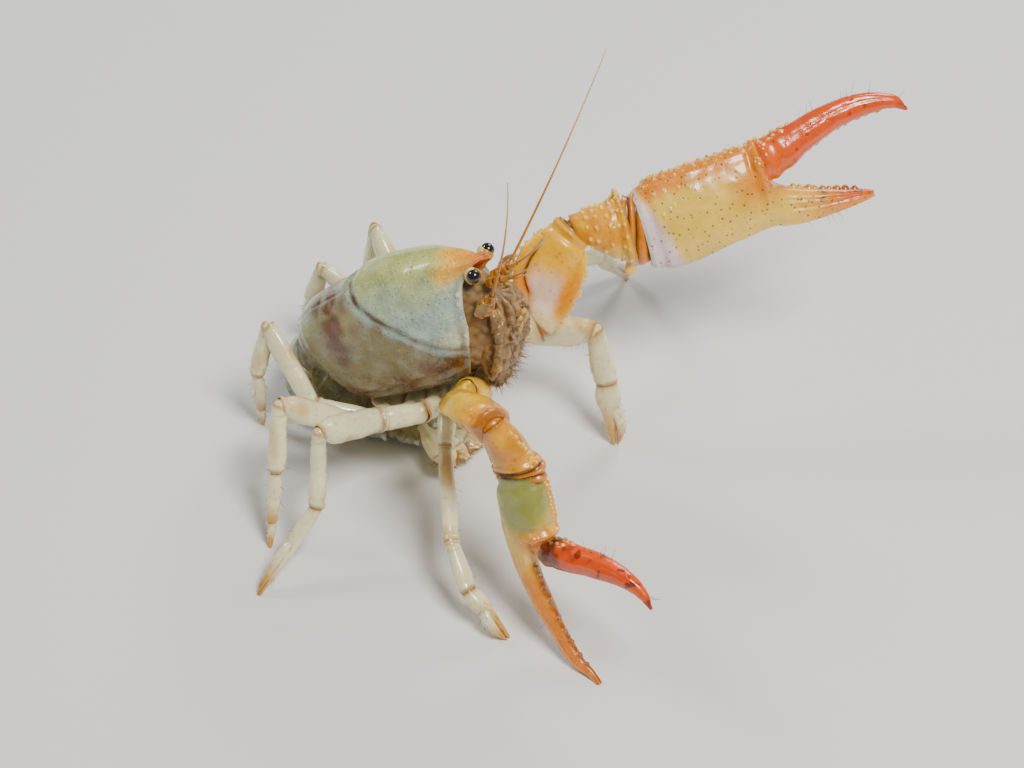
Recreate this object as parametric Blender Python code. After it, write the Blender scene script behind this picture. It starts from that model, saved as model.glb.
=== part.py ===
"""Tubercle burrowing crayfish, a still life-size model, reared up with both claws open.

Lengths are in millimetres and angles in degrees until a mesh is made, where MM turns them into
metres. +X is the animal's heading, +Y its left side, +Z is up, and the floor is Z = 0.
"""
import math
import random

import bmesh
import bpy
from mathutils import Matrix, Vector
from mathutils.bvhtree import BVHTree

MM = 0.001

# Driving dimensions
CARAPACE_LENGTH = 27.0
BODY_PITCH = 40.0
BODY_HEIGHT = 9.0
BODY_X = -21.88
BODY_Y = -3.5
GAP = 0.3
FOOT_FLAT = 0.28
ABDOMEN_LENGTHS = (2.2, 3.6, 3.6, 3.4, 3.2, 3.6)
TELSON_LENGTH = 5.2

# Sides of the animal
LEFT = 1
RIGHT = -1
SIDE_NAMES = {LEFT: "left", RIGHT: "right"}

# Numbers of sides round a section
BODY_SIDES = 24
CLAW_SIDES = 16
LEG_SIDES = 10
SMALL_SIDES = 8

# Profiles of the carapace, as (distance from its rear edge, value)
DORSAL = ((0.0, 4.4), (1.5, 5.8), (4.0, 6.7), (10.0, 7.35), (15.0, 7.65), (20.0, 6.7), (24.0, 5.1), (27.0, 3.7))
VENTRAL = ((0.0, -2.0), (1.5, -4.9), (4.0, -6.8), (10.0, -7.7), (15.0, -7.8), (20.0, -7.0), (24.0, -4.6), (27.0, 2.4))
HALF_WIDTH = ((0.0, 2.7), (1.5, 3.8), (4.0, 4.7), (10.0, 5.2), (15.0, 5.3), (20.0, 4.5), (24.0, 2.3), (27.0, 0.45))

# Side view of the cervical groove and of the front margin, as (forward, up) on the body
GROOVE = ((9.9, 10.0), (10.1, 7.7), (10.9, 6.9), (12.0, 5.7), (13.4, 4.2), (15.2, 2.2), (16.4, 0.5), (17.8, -1.2),
          (19.6, -2.6), (22.0, -3.6), (24.0, -4.2))
FRONT_MARGIN = ((15.9, -9.5), (16.6, -6.3), (18.9, -3.7), (21.7, -0.8), (23.0, 1.4), (23.7, 2.5), (25.0, 2.9), (28.0, 2.9))
THORAX_STEP = 0.22

COLOURS = {
    "carapace": (0.56, 0.60, 0.50),
    "mouth": (0.33, 0.20, 0.12),
    "claw": (0.90, 0.48, 0.10),
    "palm": (0.88, 0.72, 0.42),
    "finger": (0.88, 0.20, 0.04),
    "leg": (0.85, 0.80, 0.62),
    "abdomen": (0.72, 0.70, 0.60),
    "eye": (0.02, 0.02, 0.02),
    "antenna": (0.75, 0.52, 0.25),
}
ROUGHNESS = {"eye": 0.08, "mouth": 0.6}
WET_SHELL_ROUGHNESS = 0.28


def direction(heading, rise):
    """Unit vector from a heading (0 is forward, 90 is left) and a rise above the level."""
    flat = math.cos(math.radians(rise))
    return Vector((
        flat * math.cos(math.radians(heading)),
        flat * math.sin(math.radians(heading)),
        math.sin(math.radians(rise)),
    ))


BODY_AXIS = direction(0.0, BODY_PITCH)
BODY_LEFT = Vector((0.0, 1.0, 0.0))
BODY_UP = BODY_AXIS.cross(BODY_LEFT)
BODY_POINT = Vector((BODY_X, BODY_Y, BODY_HEIGHT))


def on_body(forward, left, up):
    """A point given on the body: forward of the carapace's rear edge, left and up of its axis."""
    return BODY_POINT + forward * BODY_AXIS + left * BODY_LEFT + up * BODY_UP


def smooth(points, at):
    """Value of a smooth curve through (position, value) points."""
    last = len(points) - 1
    index = 0
    while index < last - 1 and at > points[index + 1][0]:
        index += 1
    before = points[max(index - 1, 0)]
    start = points[index]
    end = points[index + 1]
    after = points[min(index + 2, last)]
    span = end[0] - start[0]
    share = min(max((at - start[0]) / span, 0.0), 1.0)
    start_slope = (end[1] - before[1]) / (end[0] - before[0]) * span
    end_slope = (after[1] - start[1]) / (after[0] - start[0]) * span
    square = share * share
    cube = square * share
    return (
        (2 * cube - 3 * square + 1) * start[1]
        + (cube - 2 * square + share) * start_slope
        + (3 * square - 2 * cube) * end[1]
        + (cube - square) * end_slope
    )


def spread(start, end, count):
    """Evenly spaced values from start to end."""
    return [start + (end - start) * step / (count - 1) for step in range(count)]


def ring(centre, across, up, half_across, half_up, sides, power=2.0, half_down=None):
    """Points of a rounded section; half_down sets a different depth below its centre."""
    points = []
    for step in range(sides):
        angle = 2.0 * math.pi * step / sides
        cosine = math.cos(angle)
        sine = math.sin(angle)
        reach = half_up if sine > 0.0 or half_down is None else half_down
        sideways = half_across * math.copysign(abs(cosine) ** (2.0 / power), cosine)
        upwards = reach * math.copysign(abs(sine) ** (2.0 / power), sine)
        points.append(centre + across * sideways + up * upwards)
    return points


def loft(rings):
    """Closed bmesh through rings with equal numbers of points, in metres."""
    mesh = bmesh.new()
    rows = [[mesh.verts.new(point * MM) for point in points] for points in rings]
    sides = len(rows[0])
    for row, following in zip(rows, rows[1:]):
        for step in range(sides):
            after = (step + 1) % sides
            mesh.faces.new((row[step], row[after], following[after], following[step]))
    mesh.faces.new(rows[0])
    mesh.faces.new(rows[-1])
    bmesh.ops.recalc_face_normals(mesh, faces=mesh.faces)
    return mesh


def material(finish):
    name = f"{finish}_shell"
    existing = bpy.data.materials.get(name)
    if existing:
        return existing
    shell = bpy.data.materials.new(name)
    shell.use_nodes = True
    surface = shell.node_tree.nodes["Principled BSDF"]
    surface.inputs["Base Color"].default_value = (*COLOURS[finish], 1.0)
    surface.inputs["Roughness"].default_value = ROUGHNESS.get(finish, WET_SHELL_ROUGHNESS)
    surface.inputs["Metallic"].default_value = 0.0
    return shell


def make_object(name, mesh, finish, collection):
    """Turn a bmesh into an object with its own copy of a finish."""
    data = bpy.data.meshes.new(name)
    mesh.to_mesh(data)
    mesh.free()
    own = material(finish).copy()
    own.name = f"{name}_{finish}"
    data.materials.append(own)
    data.shade_smooth()
    data.set_sharp_from_angle(angle=math.radians(50))
    node = bpy.data.objects.new(name, data)
    collection.objects.link(node)
    return node


def extrude_profile(name, profile, half_width, collection):
    """Cutter: a side-view outline on the body, drawn out to both sides."""
    mesh = bmesh.new()
    near = [mesh.verts.new(on_body(forward, -half_width, up) * MM) for forward, up in profile]
    far = [mesh.verts.new(on_body(forward, half_width, up) * MM) for forward, up in profile]
    for step in range(len(profile)):
        after = (step + 1) % len(profile)
        mesh.faces.new((near[step], near[after], far[after], far[step]))
    mesh.faces.new(near)
    mesh.faces.new(far)
    bmesh.ops.recalc_face_normals(mesh, faces=mesh.faces)
    data = bpy.data.meshes.new(name)
    mesh.to_mesh(data)
    mesh.free()
    cutter = bpy.data.objects.new(name, data)
    cutter.hide_render = True
    cutter.display_type = "WIRE"
    collection.objects.link(cutter)
    return cutter


def cut(node, cutter, operation):
    boolean = node.modifiers.new(cutter.name, "BOOLEAN")
    boolean.operation = operation
    boolean.object = cutter
    boolean.solver = "EXACT"


def offset_outline(outline, distance):
    """An open outline moved sideways to its right-hand side by a distance."""
    moved = []
    for step, point in enumerate(outline):
        before = Vector(outline[max(step - 1, 0)])
        after = Vector(outline[min(step + 1, len(outline) - 1)])
        along = (after - before).normalized()
        moved.append((point[0] + along.y * distance, point[1] - along.x * distance))
    return moved


def carapace_mesh(step):
    """Whole shell; step draws it in towards the groove, where the thorax lies lower than the head."""
    rings = []
    for forward in spread(0.0, CARAPACE_LENGTH, 22):
        inset = step * min(forward / 7.0, 1.0)
        top = smooth(DORSAL, forward) - inset
        bottom = smooth(VENTRAL, forward)
        middle = top - 0.52 * (top - bottom)
        rings.append(ring(
            on_body(forward, 0.0, middle), BODY_LEFT, BODY_UP,
            smooth(HALF_WIDTH, forward) - 0.6 * inset, top - middle, BODY_SIDES, 2.25, middle - bottom,
        ))
    return loft(rings)


def build_carapace(parts, cutters):
    """Head and thorax shells, parted along the cervical groove."""
    groove = list(GROOVE)
    behind = offset_outline(groove, GAP)
    head_profile = groove + [(28.5, -4.2), (28.5, 10.0)]
    thorax_profile = behind + [(24.0, -9.5), (-1.0, -9.5), (-1.0, 10.0)]
    front_profile = list(FRONT_MARGIN) + [(28.0, -9.5)]
    front = extrude_profile("front_margin_cutter", front_profile, 9.0, cutters)
    for name, profile, step in (
        ("carapace_head", head_profile, 0.0), ("carapace_thorax", thorax_profile, THORAX_STEP),
    ):
        node = make_object(name, carapace_mesh(step), "carapace", parts)
        cut(node, extrude_profile(f"{name}_cutter", profile, 9.0, cutters), "INTERSECT")
        cut(node, front, "DIFFERENCE")
        if name == "carapace_head":
            for side in (LEFT, RIGHT):
                cut(node, eye_socket(side, cutters), "DIFFERENCE")


# Eyes, on short stalks beside the rostrum
EYE_FORWARD = 24.5
EYE_ASIDE = 2.05
EYE_UP = 3.1
EYE_RADIUS = 0.82
EYE_STALK = 1.5


def eye_mesh(side, swell):
    """Eye ball and stalk as one turned form; swell grows it to make its socket."""
    out = (BODY_AXIS * 0.55 + BODY_LEFT * side * 0.75 + BODY_UP * 0.28).normalized()
    across = out.cross(BODY_UP).normalized()
    up = across.cross(out)
    centre = on_body(EYE_FORWARD, EYE_ASIDE * side, EYE_UP)
    stations = [(-EYE_STALK - swell, 0.45 + swell), (-0.75, 0.55 + swell)]
    for angle in (-40.0, -15.0, 10.0, 35.0, 60.0, 80.0):
        radius = EYE_RADIUS + swell
        stations.append((radius * math.sin(math.radians(angle)), radius * math.cos(math.radians(angle))))
    return loft([ring(centre + out * along, across, up, wide, wide, 12) for along, wide in stations])


def eye_socket(side, cutters):
    socket = bpy.data.meshes.new(f"eye_socket_{SIDE_NAMES[side]}")
    mesh = eye_mesh(side, GAP)
    mesh.to_mesh(socket)
    mesh.free()
    cutter = bpy.data.objects.new(socket.name, socket)
    cutter.hide_render = True
    cutter.display_type = "WIRE"
    cutters.objects.link(cutter)
    return cutter


def build_eyes(parts):
    for side in (LEFT, RIGHT):
        make_object(f"eye_{SIDE_NAMES[side]}", eye_mesh(side, 0.0), "eye", parts)


# Underside of the thorax, which carries the legs
STERNUM_HALF_WIDTH = 2.5
STERNUM_DEPTH = 1.7


def sternum_top(forward):
    return smooth(VENTRAL, forward) - GAP


def build_sternum(parts):
    rings = []
    for forward in spread(2.2, 17.2, 9):
        top = sternum_top(forward)
        points = [
            on_body(forward, -STERNUM_HALF_WIDTH, top),
            on_body(forward, STERNUM_HALF_WIDTH, top),
            on_body(forward, STERNUM_HALF_WIDTH, top - 0.7 * STERNUM_DEPTH),
            on_body(forward, 0.6 * STERNUM_HALF_WIDTH, top - STERNUM_DEPTH),
            on_body(forward, -0.6 * STERNUM_HALF_WIDTH, top - STERNUM_DEPTH),
            on_body(forward, -STERNUM_HALF_WIDTH, top - 0.7 * STERNUM_DEPTH),
        ]
        rings.append(points)
    make_object("sternum", loft(rings), "leg", parts)


# Inner and outer (forward, up) of the mouth block, and its half width
MOUTH_STATIONS = (
    ((17.6, -6.8), (18.5, -9.2), 2.4), ((18.3, -5.2), (20.6, -8.1), 2.9), ((20.0, -3.4), (22.8, -6.4), 3.0),
    ((22.2, -1.0), (24.4, -4.2), 2.1), ((23.5, 1.2), (25.2, -1.4), 1.2),
)


def build_mouth(parts):
    """Mandibles and epistome, filling the front below the head."""
    rings = []
    for inner, outer, wide in MOUTH_STATIONS:
        inside = on_body(inner[0], 0.0, inner[1])
        outside = on_body(outer[0], 0.0, outer[1])
        outward = outside - inside
        centre = (inside + outside) * 0.5
        rings.append(ring(centre, BODY_LEFT, outward.normalized(), wide, outward.length * 0.5, 16, 2.6))
    make_object("mouth", loft(rings), "mouth", parts)


def through(points, tangents, sections, sides, power=2.0):
    """Rings through points, each section as (across vector, half across, half up)."""
    rings = []
    for point, tangent, (across, wide, high) in zip(points, tangents, sections):
        side = (across - tangent * across.dot(tangent)).normalized()
        rings.append(ring(point, side, tangent.cross(side), wide, high, sides, power))
    return rings


def tube(name, route, across, sections, finish, parts, sides=SMALL_SIDES):
    """A tapering piece along a route of points, with (half across, half up) at each point."""
    tangents = []
    for step in range(len(route)):
        before = route[max(step - 1, 0)]
        after = route[min(step + 1, len(route) - 1)]
        tangents.append((after - before).normalized())
    shaped = [(across, wide, high) for wide, high in sections]
    return make_object(name, loft(through(route, tangents, shaped, sides)), finish, parts)


def build_mouth_limbs(parts):
    """Third maxillipeds, folded in front of the mouth."""
    for side in (LEFT, RIGHT):
        route = [
            on_body(17.6, 1.5 * side, -10.5), on_body(19.2, 1.5 * side, -10.2), on_body(22.1, 1.4 * side, -8.6),
            on_body(24.6, 1.35 * side, -6.2), on_body(25.8, 1.3 * side, -4.3), on_body(26.3, 1.2 * side, -3.0),
        ]
        sections = ((0.7, 0.5), (1.1, 0.75), (1.15, 0.8), (1.0, 0.75), (0.8, 0.6), (0.35, 0.3))
        name = f"maxilliped_{SIDE_NAMES[side]}"
        tube(name, route, BODY_LEFT, sections, "mouth", parts)


def feeler_route(start, first, last, length, count):
    """Points along a feeler that turns evenly from one direction to another."""
    route = [start]
    step_length = length / (count - 1)
    for step in range(count - 1):
        share = (step + 0.5) / (count - 1)
        route.append(route[-1] + (first * (1.0 - share) + last * share).normalized() * step_length)
    return route


FEELERS = {
    LEFT: (direction(66.0, 50.0), direction(70.0, 56.0), 23.0),
    RIGHT: (direction(-14.0, 76.0), direction(-78.0, 81.0), 18.0),
}


def build_feelers(parts):
    """Antennae with their stout bases, antennal scales and the small antennules."""
    for side in (LEFT, RIGHT):
        label = SIDE_NAMES[side]
        first, last, length = FEELERS[side]
        base = on_body(23.3, 2.75 * side, -0.3)
        stem = on_body(25.0, 2.5 * side, 0.3)
        whip = feeler_route(stem + first * 1.2, first, last, length, 12)
        route = [base, (base + stem) * 0.5, stem] + whip
        sections = [(0.65, 0.65), (0.78, 0.78), (0.55, 0.55)]
        sections += [(radius, radius) for radius in spread(0.36, 0.14, 12)]
        tube(f"antenna_{label}", route, BODY_LEFT, sections, "antenna", parts, 6)
        scale_root = on_body(23.4, 4.3 * side, 0.2)
        scale_tip = on_body(26.2, 4.1 * side, 0.9)
        route = [scale_root, (scale_root + scale_tip) * 0.5, scale_tip]
        tube(f"antennal_scale_{label}", route, BODY_UP, ((0.5, 0.25), (0.75, 0.28), (0.12, 0.1)), "antenna", parts)
        first = direction(12.0 * side, 40.0)
        last = direction(30.0 * side, 68.0)
        route = feeler_route(on_body(25.9, 0.75 * side, 1.4), first, last, 8.0, 6)
        sections = [(radius, radius) for radius in spread(0.42, 0.14, 6)]
        tube(f"antennule_{label}", route, BODY_LEFT, sections, "antenna", parts, 6)


# Legs and claws, as chains of stretches between joints


def chain(start, stretches):
    """Joint positions from a start and (length, heading, rise) of each stretch."""
    joints = [start]
    for length, heading, rise in stretches:
        joints.append(joints[-1] + direction(heading, rise) * length)
    return joints


def mitre(joints, index):
    """Normal of the plane in which two stretches meet at a joint."""
    before = (joints[index] - joints[index - 1]).normalized()
    after = (joints[index + 1] - joints[index]).normalized()
    return (before + after).normalized()


def fuse(node, meshes):
    """Join closed forms into a node by one union, and keep the largest closed surface."""
    group = bpy.data.collections.new(f"{node.name}_fused")
    bpy.context.scene.collection.children.link(group)
    pieces = []
    for step, mesh in enumerate(meshes):
        data = bpy.data.meshes.new(f"{node.name}_piece_{step}")
        mesh.to_mesh(data)
        mesh.free()
        piece = bpy.data.objects.new(data.name, data)
        group.objects.link(piece)
        pieces.append(piece)
    union = node.modifiers.new("union", "BOOLEAN")
    union.operation = "UNION"
    union.operand_type = "COLLECTION"
    union.collection = group
    union.solver = "EXACT"
    graph = bpy.context.evaluated_depsgraph_get()
    graph.update()
    joined = bpy.data.meshes.new_from_object(node.evaluated_get(graph))
    node.modifiers.clear()
    node.data = joined
    for piece in pieces:
        bpy.data.objects.remove(piece, do_unlink=True)
    bpy.data.collections.remove(group)
    keep_largest(joined)
    joined.shade_smooth()
    joined.set_sharp_from_angle(angle=math.radians(50))


def keep_largest(data):
    mesh = bmesh.new()
    mesh.from_mesh(data)
    left = set(mesh.verts)
    shells = []
    while left:
        shell = {left.pop()}
        edge_of_shell = list(shell)
        while edge_of_shell:
            vertex = edge_of_shell.pop()
            for link in vertex.link_edges:
                other = link.other_vert(vertex)
                if other in left:
                    left.remove(other)
                    shell.add(other)
                    edge_of_shell.append(other)
        shells.append(shell)
    shells.sort(key=len)
    for shell in shells[:-1]:
        bmesh.ops.delete(mesh, geom=list(shell), context="VERTS")
    mesh.to_mesh(data)
    mesh.free()


def tubercle(place, outward, radius, height, sides=5):
    """A blunt cone whose root reaches into the shell."""
    across = outward.orthogonal().normalized()
    up = outward.cross(across)
    rings = [ring(place + outward * along, across, up, wide, wide, sides) for along, wide in (
        (-0.3, radius), (height, 0.35 * radius),
    )]
    return loft(rings)


def studded(node, rows, seed):
    """Fuse rows of tubercles to a node; a row is (start, end, count, outward, radius, height)."""
    chance = random.Random(seed)
    surface = BVHTree.FromPolygons(
        [vertex.co / MM for vertex in node.data.vertices], [list(face.vertices) for face in node.data.polygons]
    )
    pieces = []
    for start, end, count, outward, radius, height in rows:
        outward = outward.normalized()
        for step in range(count):
            share = (step + 0.5 + chance.uniform(-0.2, 0.2)) / count
            place = start.lerp(end, share) + outward * 12.0
            hit, normal, _, _ = surface.ray_cast(place, -outward)
            if hit is None:
                continue
            size = chance.uniform(0.85, 1.15)
            lean = (outward * 0.6 + normal * 0.4).normalized()
            pieces.append(tubercle(hit, lean, radius * size, height * size))
    fuse(node, pieces)


def onto_plane(points, along, point, normal):
    """Move points along a direction onto a plane."""
    return [vertex - along * ((vertex - point).dot(normal) / along.dot(normal)) for vertex in points]


def stretch_rings(start, end, start_plane, end_plane, widths, across, sides, gaps, power=2.0):
    """Rings of one stretch; widths are (share of its length, half across, half up, shift up)."""
    along = (end - start).normalized()
    side = (across - along * across.dot(along)).normalized()
    up = along.cross(side)
    rings = []
    for share, wide, high, *shift in widths:
        centre = start.lerp(end, share) + up * sum(shift)
        section = ring(centre, side, up, wide, high, sides, power)
        if share == 0.0 and start_plane is not None:
            section = onto_plane(section, along, start + start_plane * gaps[0], start_plane)
        if share == 1.0 and end_plane is not None:
            section = onto_plane(section, along, end - end_plane * gaps[1], end_plane)
        rings.append(section)
    return rings


# Places of the limb bases on the sternum, as (forward, up), and of the joints after the coxae,
# as (forward, aside, up)
LIMB_BASES = {1: (16.2, -8.9), 2: (13.0, -9.0), 3: (9.9, -8.9), 4: (6.8, -8.5), 5: (3.8, -7.7)}
HIPS = {1: (16.4, 4.6, -7.25), 2: (12.95, 4.9, -8.25), 3: (9.65, 4.9, -7.8), 4: (6.45, 4.8, -7.4), 5: (3.15, 4.8, -6.5)}

# Stretches of each walking leg after its coxa: ischium, merus, carpus, propodus with dactyl
LEG_STRETCHES = {
    (RIGHT, 2): ((4.9, -73, -9), (10.0, -66, -19), (5.0, -46, -37), (6.3, -17, 0)),
    (RIGHT, 3): ((5.0, -137, 12), (8.4, -118, 27), (8.1, -78, -65), (10.8, -115, 0)),
    (RIGHT, 4): ((5.5, -144, 9), (8.6, -141, 37), (7.0, -80, -60), (8.5, -83, 0)),
    (RIGHT, 5): ((6.3, -163, 15), (9.3, 149, 40), (6.0, -126, -72), (7.8, -56, 0)),
    (LEFT, 2): ((4.4, 62, -18), (9.5, 4, 15), (5.7, -43, -61), (7.6, -50, 0)),
    (LEFT, 3): ((5.1, 61, 16), (9.3, 58, 16), (8.5, 67, -33), (10.5, 75, 0)),
    (LEFT, 4): ((5.5, 138, 29), (9.0, 140, 35), (7.1, 135, -74), (8.5, 113, 0)),
    (LEFT, 5): ((4.7, 143, 25), (8.4, 178, 36), (5.9, 164, -72), (7.7, 157, 0)),
}

# Half widths of a leg in the plane of its bend: coxa, ischium, merus, carpus, propodus
LEG_GIRTHS = {
    (RIGHT, 2): (1.1, 1.05, 0.95, 1.05, 1.15), (LEFT, 2): (1.2, 1.35, 1.6, 1.35, 1.7),
    (RIGHT, 3): (1.15, 1.25, 1.5, 1.0, 0.9), (LEFT, 3): (1.15, 1.25, 1.4, 1.0, 0.9),
    (RIGHT, 4): (1.1, 1.15, 1.35, 1.0, 0.75), (LEFT, 4): (1.1, 1.15, 1.35, 1.0, 0.75),
    (RIGHT, 5): (1.0, 1.05, 1.15, 1.0, 0.8), (LEFT, 5): (1.0, 1.05, 1.15, 1.0, 0.8),
}
LEG_FLATNESS = 0.8


def hip(side, pair):
    forward, aside, up = HIPS[pair]
    return on_body(forward, aside * side, up)


def leg_joints(side, pair):
    """Joints from the sternum to the foot, whose last stretch comes down to the floor."""
    forward, up = LIMB_BASES[pair]
    base = on_body(forward, (STERNUM_HALF_WIDTH + GAP) * side, up)
    stretches = list(LEG_STRETCHES[(side, pair)])
    joints = [base] + chain(hip(side, pair), stretches[:-1])
    length, heading, _ = stretches[-1]
    drop = math.degrees(math.asin(min(joints[-1].z / length, 0.999)))
    joints.append(joints[-1] + direction(heading, -drop) * length)
    joints[-1].z = 0.0
    return joints


def build_leg(side, pair, parts):
    joints = leg_joints(side, pair)
    coxa, ischium, merus, carpus, propodus = LEG_GIRTHS[(side, pair)]
    name = f"leg_{SIDE_NAMES[side]}_{pair}"
    bend = (joints[3] - joints[2]).cross(joints[4] - joints[3]).normalized()
    flat = LEG_FLATNESS
    planes = [BODY_LEFT * side] + [mitre(joints, index) for index in range(1, 5)]
    half = GAP / 2
    upper = stretch_rings(joints[0], joints[1], planes[0], planes[1],
                          ((0.0, 0.85 * coxa, coxa), (1.0, 0.9 * ischium, 0.95 * ischium)), bend, LEG_SIDES, (0, 0))
    upper += stretch_rings(joints[1], joints[2], None, planes[2],
                           ((0.45, flat * ischium, ischium), (1.0, flat * 0.82 * merus, 0.85 * merus)),
                           bend, LEG_SIDES, (0, 0))
    upper += stretch_rings(joints[2], joints[3], None, planes[3],
                           ((0.2, flat * 0.92 * merus, 0.95 * merus), (0.5, flat * merus, merus),
                            (0.8, flat * 0.95 * merus, 0.95 * merus), (1.0, flat * 0.75 * carpus, 0.8 * carpus)),
                           bend, LEG_SIDES, (0, half))
    make_object(f"{name}_merus", loft(upper), "leg", parts)
    middle = stretch_rings(joints[3], joints[4], planes[3], planes[4],
                           ((0.0, flat * 0.72 * carpus, 0.75 * carpus), (0.3, flat * 0.85 * carpus, 0.85 * carpus),
                            (0.8, flat * carpus, carpus), (1.0, flat * 0.8 * carpus, 0.85 * carpus)),
                           bend, LEG_SIDES, (half, half))
    make_object(f"{name}_carpus", loft(middle), "leg", parts)
    lower = stretch_rings(joints[4], joints[5], planes[4], Vector((0.0, 0.0, -1.0)),
                          ((0.0, flat * 0.8 * propodus, 0.8 * propodus), (0.25, flat * propodus, propodus),
                           (0.5, flat * 0.9 * propodus, (0.6 if pair < 4 else 0.85) * propodus),
                           (0.8, flat * 0.55 * propodus, (0.42 if pair < 4 else 0.6) * propodus),
                           (1.0, FOOT_FLAT, FOOT_FLAT)),
                          bend, LEG_SIDES, (half, 0))
    foot = make_object(f"{name}_propodus", loft(lower), "leg", parts)
    if pair < 4:
        fuse(foot, [pincer(joints[4], joints[5], bend, propodus)])


def pincer(wrist, tip, bend, girth):
    """Movable finger of a small claw, lying along the fixed one."""
    along = (tip - wrist).normalized()
    bend = (bend - along * bend.dot(along)).normalized()
    outward = along.cross(bend)
    if outward.z < 0.0:
        outward = -outward
    length = (tip - wrist).length
    rings = []
    for share, aside, size in ((0.36, 0.1, 0.42), (0.5, 0.6, 0.44), (0.62, 0.78, 0.4), (0.78, 0.72, 0.32), (0.93, 0.5, 0.16)):
        centre = wrist + along * (length * share) + outward * (girth * aside)
        rings.append(ring(centre, bend, outward, girth * size * 1.3, girth * size, SMALL_SIDES))
    return loft(rings)


# Claws: ischium, merus and carpus as chains, then the hand in its own plane
ARM_STRETCHES = {
    LEFT: ((4.3, 29, -5), (10.9, 79, 50), (6.9, 19, 0)),
    RIGHT: ((4.3, -84, 29), (11.0, -47, 35), (5.8, -2, -61)),
}
ARM_FLAT_SIDE = {LEFT: (-68.0, 44.0), RIGHT: (-60.0, 20.0)}
ARM_SCALE = {LEFT: 1.0, RIGHT: 0.8}
MERUS_BULGE = {LEFT: -0.9, RIGHT: 0.0}
MERUS_WIDTH = {LEFT: 1.0, RIGHT: 1.2}
HAND_AXIS = {LEFT: (32.5, 11.5), RIGHT: (-48.5, -57.5)}
HAND_UP = {LEFT: (139.0, 54.0), RIGHT: (-10.7, 25.3)}

# Hand outlines in the plane of the claw, as (along, centre up, half height, half thickness)
HAND_STATIONS = {
    LEFT: (
        (0.3, -0.2, 3.9, 2.0), (1.6, -0.1, 4.8, 2.5), (5.0, 0.0, 4.95, 2.8), (9.0, 0.3, 4.75, 2.8),
        (12.0, 0.5, 4.6, 2.5), (13.4, 0.45, 4.5, 2.3), (14.5, -1.8, 2.4, 1.9), (17.0, -2.7, 1.75, 1.5),
        (20.0, -3.2, 1.25, 1.15), (22.6, -3.5, 0.8, 0.75), (24.2, -3.7, 0.25, 0.25),
    ),
    RIGHT: (
        (0.3, 0.0, 2.3, 1.5), (1.3, 0.1, 2.8, 1.9), (3.5, 0.2, 3.1, 2.1), (6.0, 0.1, 3.2, 2.1),
        (6.9, 0.0, 3.0, 1.9), (7.8, -1.4, 1.6, 1.5), (9.2, -1.7, 1.2, 1.3), (11.2, -1.5, 1.05, 1.1),
        (13.2, -1.0, 1.0, 1.0), (15.0, -0.4, 0.95, 0.9), (17.0, 0.4, 0.85, 0.8), (19.0, 1.3, 0.75, 0.65),
        (20.6, 2.3, 0.6, 0.5), (21.6, 3.5, 0.4, 0.36),
    ),
}
FINGER_STATIONS = {
    LEFT: (
        (14.3, 2.95, 2.05, 1.7), (16.2, 3.5, 2.15, 1.7), (18.6, 4.3, 1.7, 1.5), (21.4, 5.1, 1.45, 1.3),
        (24.4, 5.5, 1.25, 1.1), (26.8, 5.3, 1.0, 0.9), (28.6, 4.7, 0.65, 0.6), (29.4, 3.9, 0.2, 0.2),
    ),
    RIGHT: (
        (8.85, 0.9, 0.8, 0.9), (8.95, 2.2, 1.3, 1.3), (9.2, 3.8, 1.5, 1.3), (9.4, 5.4, 1.4, 1.2), (9.8, 7.2, 1.3, 1.1),
        (10.4, 9.1, 1.1, 0.95), (11.3, 10.7, 0.85, 0.75), (12.4, 11.9, 0.55, 0.5), (13.5, 12.4, 0.2, 0.2),
    ),
}


# Section of each hand from which its fixed finger starts to bend
FIXED_FINGER_FROM = {LEFT: 8, RIGHT: 7}

# The right claw's fixed finger rests its tip on the floor
RIGHT_CLAW_REST = Vector((BODY_X + 38.4, BODY_Y - 24.8, 0.0))


def hand_frame(side, wrist):
    axis = direction(*HAND_AXIS[side])
    hint = direction(*HAND_UP[side])
    up = (hint - axis * hint.dot(axis)).normalized()
    return wrist, axis, up, axis.cross(up)


def arm_joints(side):
    forward, up = LIMB_BASES[1]
    base = on_body(forward, (STERNUM_HALF_WIDTH + GAP) * side, up)
    return [base] + chain(hip(side, 1), ARM_STRETCHES[side])


def merus_rows(joints, flat, size):
    """Saw edges of the merus, above and below."""
    start, end = joints[2], joints[3]
    along = (end - start).normalized()
    edge = along.cross(flat - along * flat.dot(along)).normalized()
    rows = []
    for way, first, last, count in ((1, 0.1, 0.8, 12), (-1, 0.1, 0.8, 10)):
        for aside in (0.55, -0.45):
            offset = flat * aside * size
            rows.append((
                start.lerp(end, first) + offset, start.lerp(end, last) + offset, count if aside > 0 else count // 2,
                edge * way, 0.36 * size, 0.55 * size,
            ))
    return rows


def carpus_rows(joints, up, thick, size):
    """Rows of tubercles over the upper and outer sides of the carpus."""
    start, end = joints[3], joints[4]
    rows = []
    for turn, count in ((0.0, 4), (35.0, 4), (-35.0, 4), (68.0, 3), (-68.0, 3)):
        outward = up * math.cos(math.radians(turn)) + thick * math.sin(math.radians(turn))
        rows.append((start.lerp(end, 0.42), start.lerp(end, 0.97), count, outward, 0.42 * size, 0.5 * size))
    rows.append((start.lerp(end, 0.72), start.lerp(end, 0.95), 1, -up, 0.5 * size, 0.9 * size))
    return rows


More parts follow.
